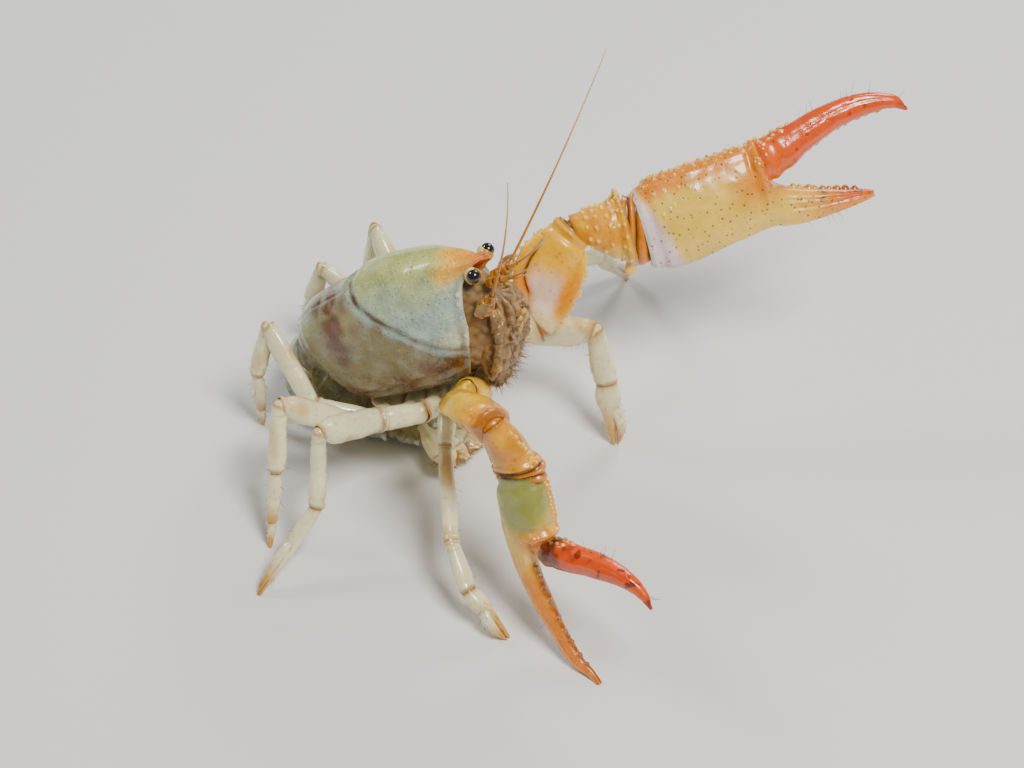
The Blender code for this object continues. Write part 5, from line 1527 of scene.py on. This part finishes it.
    root = wrist + axis * (length - 1.0) + up * (stations[0][1] * (0.9 if side == LEFT else 0.5))
    hinge = route_skin([root, root.lerp(first, 0.5), first], ((1.6 * size, 1.95 * size), (1.55 * size, 1.95 * size),
                                                             (1.35 * size, 1.75 * size)), thick, 50, 70)
    hinge.push(0.05 * np.cos(hinge.row_places * 2.0 * math.pi / 0.7))
    hinge.paint("pale", 0.9)
    make_piece(f"{name}_hinge_skin", hinge, "joint")
    hairs = hairs_on(finger, (0.35 * whole, 0.97 * whole), (60.0, 140.0), 9, 1.5, axis * 0.3, 81 + side)
    hairs += hairs_on(palm, (length + 4.0, palm.along[-1] - 1.0), (230.0, 310.0), 7, 1.0, axis * 0.3, 91 + side)
    bristles(f"{name}_hair", [hair for hair in hairs if hair[0].z > 1.6], 0.03)


# Underside


def build_sternum():
    """Plates between the limb bases, with a groove between each pair and a keel."""
    forward = np.linspace(2.2, 17.2, 150)
    top = curve(VENTRAL, forward) - GAP
    centres = [on_body(at, 0.0, high - 0.5 * STERNUM_DEPTH) for at, high in zip(forward, top)]
    even = np.ones(len(forward))
    skin = Skin(rounded(centres, BODY_LEFT, BODY_UP, STERNUM_HALF_WIDTH * even, 0.5 * STERNUM_DEPTH * even, 120, 3.4),
                forward)
    lift = 0.06 * skin.clouds(1.2)
    for pair in (1, 2, 3, 4):
        middle = 0.5 * (LIMB_BASES[pair][0] + LIMB_BASES[pair + 1][0])
        lift = lift - 0.3 * skin.ring(middle, 0.28)
        skin.paint("stain", 0.7 * skin.ring(middle, 0.3))
    skin.push(lift + 0.2 * skin.stripe(BOTTOM, 9.0) - 0.16 * skin.stripe(BOTTOM, 8.0, 26.0))
    skin.paint("amber", 0.4 * step_up(skin.clouds(2.0, 5.0), 0.0, 0.8))
    close_ends(skin, DOME_END, DOME_END)
    make_piece("sternum_plates", skin, "leg", ("sternum",))


# Abdomen

ABDOMEN_LENGTHS = (2.2, 3.6, 3.6, 3.4, 3.2, 3.6)
TELSON_LENGTH = 5.2
CURL_START = 180.0 + BODY_PITCH
CURL_END = 360.0
ABDOMEN_START = (-0.3, 1.0)
ABDOMEN_HALF_WIDTH = ((0.0, 3.3), (6.0, 3.9), (12.0, 3.8), (20.0, 3.1))
ABDOMEN_HALF_HEIGHT = ((0.0, 2.2), (6.0, 2.3), (12.0, 2.0), (20.0, 1.45))
ABDOMEN_FLOOR_CLEARANCE = 0.1


def abdomen_axis():
    """Point and direction of the abdomen's middle line at each distance along it."""
    start = on_body(ABDOMEN_START[0], 0.0, ABDOMEN_START[1])
    lying = smooth(ABDOMEN_HALF_HEIGHT, 13.0) + ABDOMEN_FLOOR_CLEARANCE
    drop_per_radius = 1.0 - math.cos(math.radians(CURL_START))
    radius = (start.z - lying) / drop_per_radius
    curl = radius * math.radians(CURL_END - CURL_START)

    def at(distance):
        angle = math.radians(CURL_START) + min(max(distance, 0.0), curl) / radius
        centre = start + radius * Vector((
            math.sin(angle) - math.sin(math.radians(CURL_START)), 0.0,
            math.cos(math.radians(CURL_START)) - math.cos(angle),
        ))
        along = Vector((math.cos(angle), 0.0, math.sin(angle)))
        beyond = distance - curl if distance > curl else min(distance, 0.0)
        return centre + along * beyond, along

    return at


def build_abdomen():
    """Six overlapping segments, their side lobes, and the soft skin beneath."""
    at = abdomen_axis()
    begin = 0.0
    hairs = []
    for number, length in enumerate(ABDOMEN_LENGTHS, 1):
        distances = np.linspace(begin - (0.5 if number > 1 else 1.2), begin + length + 0.02, 70)
        share = (distances - begin) / length
        swell = 0.9 + 0.13 * step_up(share, -0.05, 0.55)
        centres, ups = [], []
        for distance in distances:
            centre, along = at(distance)
            centres.append(centre)
            ups.append(BODY_LEFT.cross(along))
        wide = curve(ABDOMEN_HALF_WIDTH, distances) * swell
        high = curve(ABDOMEN_HALF_HEIGHT, distances) * swell
        skin = Skin(rounded(centres, -BODY_LEFT, ups, wide, high, 150, 2.2, high * 0.85), distances)
        place = (skin.row_places - begin) / length
        lobe = (skin.stripe(205.0, 22.0) + skin.stripe(335.0, 22.0))
        belly = -np.sin(np.radians(skin.turns))
        back = step_up(-belly, -0.35, 0.1)
        skin.push(0.05 * skin.clouds(2.4) + 0.02 * skin.clouds(0.8)
                  + 0.32 * lobe * spot(place, 0.6, 0.35)
                  - 0.14 * spot(place, 0.28, 0.06) * back + 0.1 * spot(place, 0.97, 0.05) * back
                  - 0.3 * step_up(belly, 0.2, 0.8))
        skin.paint("dusk", 0.7 + 0.3 * skin.clouds(2.0, 4.0))
        skin.paint("cream", 0.8 * step_up(belly, -0.1, 0.5))
        skin.paint("stain", 0.7 * spot(place, 0.26, 0.05) * back)
        skin.paint("rim", 0.8 * spot(place, 0.96, 0.1) * back)
        skin.paint("stain", 0.5 * spot(place, 0.84, 0.05) * back)
        skin.paint("stain", 0.5 * step_up(skin.clouds(1.6, 9.0), 0.2, 0.9) * lobe)
        skin.stand()
        for turns, seed in (((196.0, 214.0), number), ((326.0, 344.0), number + 9)):
            hairs += hairs_on(skin, (begin + 0.5 * length, begin + length), turns, 16, 0.8, -BODY_UP * 0.2, seed)
        close_ends(skin)
        make_piece(f"abdomen_segment_{number}", skin, "carapace", (f"abdomen_{number}",))
        begin += length
    bristles("abdomen_hair", [hair for hair in hairs if hair[0].z > 1.0], 0.022)
    build_tail_fan(begin, at)


TAIL_BLADES = (("uropod_inner", 1.2, 18.0, 5.2, 1.35, 1.15), ("uropod_outer", 1.9, 38.0, 5.4, 1.45, 2.3))
BLADE_STATIONS = ((0.0, 0.45, 0.4), (0.25, 0.8, 0.42), (0.6, 1.0, 0.4), (0.85, 0.8, 0.34), (1.0, 0.35, 0.27))


def tail_blade(name, replaced, root, heading, length, half_width, lift):
    """Blade of the tail fan: keeled, with a seam across it and a fringe of hair."""
    along = direction(heading, 0.0)
    across = along.cross(UP)
    shares = np.linspace(-0.08, 1.0, 90)
    _, wide, thick = curves([station[0] for station in BLADE_STATIONS], BLADE_STATIONS, shares)
    centres = [root + along * (length * share) + UP * (lift + deep) for share, deep in zip(shares, thick)]
    skin = Skin(rounded(centres, across, UP, wide * half_width, thick, 100, 2.4), shares * length)
    top = step_up(np.sin(np.radians(skin.turns)), 0.0, 0.4)
    share = skin.row_places / length
    skin.push(0.12 * top * skin.stripe(TOP, 7.0) - 0.08 * top * skin.stripe(TOP, 8.0, 22.0)
              - 0.1 * top * spot(share, 0.72, 0.025) + 0.03 * skin.clouds(1.2))
    skin.stand()
    skin.paint("stain", 0.7 * top * spot(share, 0.72, 0.03))
    skin.paint("amber", 0.7 * step_up(share, 0.6, 1.0))
    chance = random.Random(int(heading * 10))
    hairs = []
    for step in range(110):
        spread = math.radians(-80.0 + 160.0 * step / 109.0)
        place = 0.72 + 0.28 * math.cos(spread)
        edge = skin.at(place * length, 0.0 if spread > 0.0 else 180.0)
        centre = skin.at(place * length, 90.0)
        middle = Vector((centre[0], centre[1], edge[2]))
        root_at = middle.lerp(Vector(edge), abs(math.sin(spread)) ** 0.5 if place < 0.99 else abs(math.sin(spread)))
        way = along * math.cos(spread) + across * math.sin(spread)
        hairs.append((root_at, way + UP * 0.05, chance.uniform(0.6, 1.0)))
    close_ends(skin, DOME_END, DOME_END)
    skin.stand()
    make_piece(name, skin, "leg", (replaced,))
    return hairs


def build_tail_fan(begin, at):
    """Telson and the four blades beside it, flat on the floor, with their fringe."""
    end, _ = at(begin + GAP)
    root = Vector((end.x, end.y, 0.0))
    hairs = tail_blade("tail_middle_blade", "telson", root, 0.0, TELSON_LENGTH, 1.55, 0.0)
    for side, side_name in SIDE_NAMES.items():
        for label, aside, heading, length, half_width, lift in TAIL_BLADES:
            place = root + Vector((0.0, aside * side, 0.0))
            node = f"{label}_{side_name}"
            hairs += tail_blade(f"tail_blade_{node}", node, place, heading * side, length, half_width, lift)
    bristles("tail_fringe", hairs, 0.025)


# Studio


def studio_material(name, colour, roughness):
    """Matt painted board: a plain pale surface with the faintest unevenness."""
    made, tree, place = blank_material(name)
    grain = add(tree, "ShaderNodeTexNoise", {"Vector": place, "Scale": 900.0}).outputs["Fac"]
    bump = add(tree, "ShaderNodeBump", {"Strength": 0.05, "Distance": 0.0001, "Height": grain})
    plug(tree, tree.nodes["Principled BSDF"],
         {"Base Color": (*colour, 1.0), "Roughness": roughness, "Normal": bump.outputs["Normal"]})
    return made


class CrayfishStudio(bpy.types.PropertyGroup):
    """Light of the studio."""
    key_power: number_property("Main light", "Power of the large light overhead, in watts", 2.1, 0.0, 20.0)
    fill_power: number_property("Fill light", "Power of the low light on the left side, in watts", 0.9, 0.0, 20.0)
    sky: number_property("Surrounding light", "Strength of the even light all round", 0.18, 0.0, 5.0)


def build_studio():
    """Pale floor, two soft lights, even surroundings and the camera."""
    light = bpy.context.scene.crayfish_studio
    _, hue = chosen()
    data = bpy.data.meshes.new("floor")
    reach = 1.5
    data.from_pydata([(-reach, -reach, 0.0), (reach, -reach, 0.0), (reach, reach, 0.0), (-reach, reach, 0.0)], [],
                     [(0, 1, 2, 3)])
    data.materials.append(studio_material("matt_painted_board", hue.floor, 0.75))
    floor = placed("floor", data)
    floor.location.z = -FLOOR_DROP
    for name, heading, rise, distance, width, power, colour in (
        ("main_light", -25.0, 64.0, 0.42, 0.13, light.key_power, (1.0, 0.985, 0.96)),
        ("fill_light", 85.0, 34.0, 0.45, 0.16, light.fill_power, (0.9, 0.95, 1.0)),
        ("rim_light", 170.0, 38.0, 0.42, 0.09, 0.6 * light.fill_power, (0.95, 0.98, 1.0)),
    ):
        lamp = bpy.data.lights.new(name, "AREA")
        lamp.shape = "SQUARE"
        lamp.size = width
        lamp.energy = power
        lamp.color = colour
        item = placed(name, lamp)
        way = direction(heading, rise)
        item.location = CAMERA_TARGET * MM + way * distance
        item.rotation_euler = way.to_track_quat("Z", "Y").to_euler()
    world = bpy.data.worlds.new("even_surroundings")
    world.use_nodes = True
    world.node_tree.nodes["Background"].inputs["Color"].default_value = (0.86, 0.9, 0.95, 1.0)
    world.node_tree.nodes["Background"].inputs["Strength"].default_value = light.sky
    bpy.context.scene.world = world
    lens = bpy.data.cameras.new("camera")
    lens.type = "PERSP"
    lens.lens = CAMERA_LENS
    lens.sensor_width = 36.0
    lens.clip_start = 0.01
    lens.clip_end = 10.0
    lens.dof.use_dof = False
    camera = placed("camera", lens)
    back = direction(CAMERA_AZIMUTH - 90.0, CAMERA_ELEVATION)
    camera.location = (CAMERA_TARGET + back * CAMERA_DISTANCE) * MM
    camera.rotation_euler = back.to_track_quat("Z", "Y").to_euler()
    bpy.context.scene.camera = camera


# Operators


class CRAYFISH_OT_carapace(bpy.types.Operator):
    """Build the shell of the head and thorax, and the flesh inside its front"""
    bl_idname = "crayfish.carapace"
    bl_label = "Carapace"

    def execute(self, context):
        make_piece("carapace_shell", carapace_skin(), "carapace",
                   ("carapace_head", "carapace_thorax"))
        make_piece("head_flesh", head_core_skin(), "mouth")
        return {"FINISHED"}


class CRAYFISH_OT_eyes(bpy.types.Operator):
    """Build both eyes on their stalks"""
    bl_idname = "crayfish.eyes"
    bl_label = "Eyes"

    def execute(self, context):
        for side in (LEFT, RIGHT):
            build_eye(side)
        return {"FINISHED"}


class CRAYFISH_OT_feelers(bpy.types.Operator):
    """Build the long and the small feelers and their scales"""
    bl_idname = "crayfish.feelers"
    bl_label = "Feelers"

    def execute(self, context):
        for side in (LEFT, RIGHT):
            build_feelers(side)
        return {"FINISHED"}


class CRAYFISH_OT_mouth(bpy.types.Operator):
    """Build the mouth plates, jaws, mouth limbs and their hair"""
    bl_idname = "crayfish.mouth"
    bl_label = "Mouth"

    def execute(self, context):
        build_mouth()
        for side in (LEFT, RIGHT):
            build_mouth_limbs(side)
        return {"FINISHED"}


class CRAYFISH_OT_claws(bpy.types.Operator):
    """Build both claws with their arms, hands and fingers"""
    bl_idname = "crayfish.claws"
    bl_label = "Claws"

    def execute(self, context):
        for side in (LEFT, RIGHT):
            build_arm(side)
            build_hand(side)
        return {"FINISHED"}


class CRAYFISH_OT_legs(bpy.types.Operator):
    """Build the eight walking legs and the plates that carry them"""
    bl_idname = "crayfish.legs"
    bl_label = "Walking legs"

    def execute(self, context):
        build_sternum()
        for side in (LEFT, RIGHT):
            for pair in (2, 3, 4, 5):
                build_leg(side, pair)
        return {"FINISHED"}


class CRAYFISH_OT_abdomen(bpy.types.Operator):
    """Build the curled abdomen and the tail fan"""
    bl_idname = "crayfish.abdomen"
    bl_label = "Abdomen"

    def execute(self, context):
        build_abdomen()
        return {"FINISHED"}


class CRAYFISH_OT_studio(bpy.types.Operator):
    """Build the floor, the lights and the camera"""
    bl_idname = "crayfish.studio"
    bl_label = "Studio"

    def execute(self, context):
        build_studio()
        return {"FINISHED"}


OPERATORS = (CRAYFISH_OT_carapace, CRAYFISH_OT_eyes, CRAYFISH_OT_feelers, CRAYFISH_OT_mouth, CRAYFISH_OT_claws,
             CRAYFISH_OT_legs, CRAYFISH_OT_abdomen, CRAYFISH_OT_studio)
SETTINGS = (("crayfish_sizes", CrayfishSizes), ("crayfish_colours", CrayfishColours),
            ("crayfish_studio", CrayfishStudio))


class CRAYFISH_PT_panel(bpy.types.Panel):
    """Buttons and settings of the crayfish"""
    bl_idname = "CRAYFISH_PT_panel"
    bl_label = "Crayfish"
    bl_space_type = "VIEW_3D"
    bl_region_type = "UI"
    bl_category = "Crayfish"

    def draw(self, context):
        for name, group in SETTINGS:
            box = self.layout.box()
            for setting in group.__annotations__:
                box.prop(getattr(context.scene, name), setting)
        for operator in OPERATORS:
            self.layout.operator(operator.bl_idname)


CLASSES = (CrayfishSizes, CrayfishColours, CrayfishStudio, *OPERATORS, CRAYFISH_PT_panel)


def register():
    """Add the classes and the panel's settings."""
    for item in CLASSES:
        bpy.utils.register_class(item)
    for name, group in SETTINGS:
        setattr(bpy.types.Scene, name, PointerProperty(type=group))


def unregister():
    """Take away what register added."""
    for name, _ in SETTINGS:
        delattr(bpy.types.Scene, name)
    for item in reversed(CLASSES):
        bpy.utils.unregister_class(item)


def main():
    """Build everything."""
    register()
    bpy.ops.crayfish.carapace()
    bpy.ops.crayfish.eyes()
    bpy.ops.crayfish.feelers()
    bpy.ops.crayfish.mouth()
    bpy.ops.crayfish.claws()
    bpy.ops.crayfish.legs()
    bpy.ops.crayfish.abdomen()
    bpy.ops.crayfish.studio()


if __name__ == "__main__":
    main()
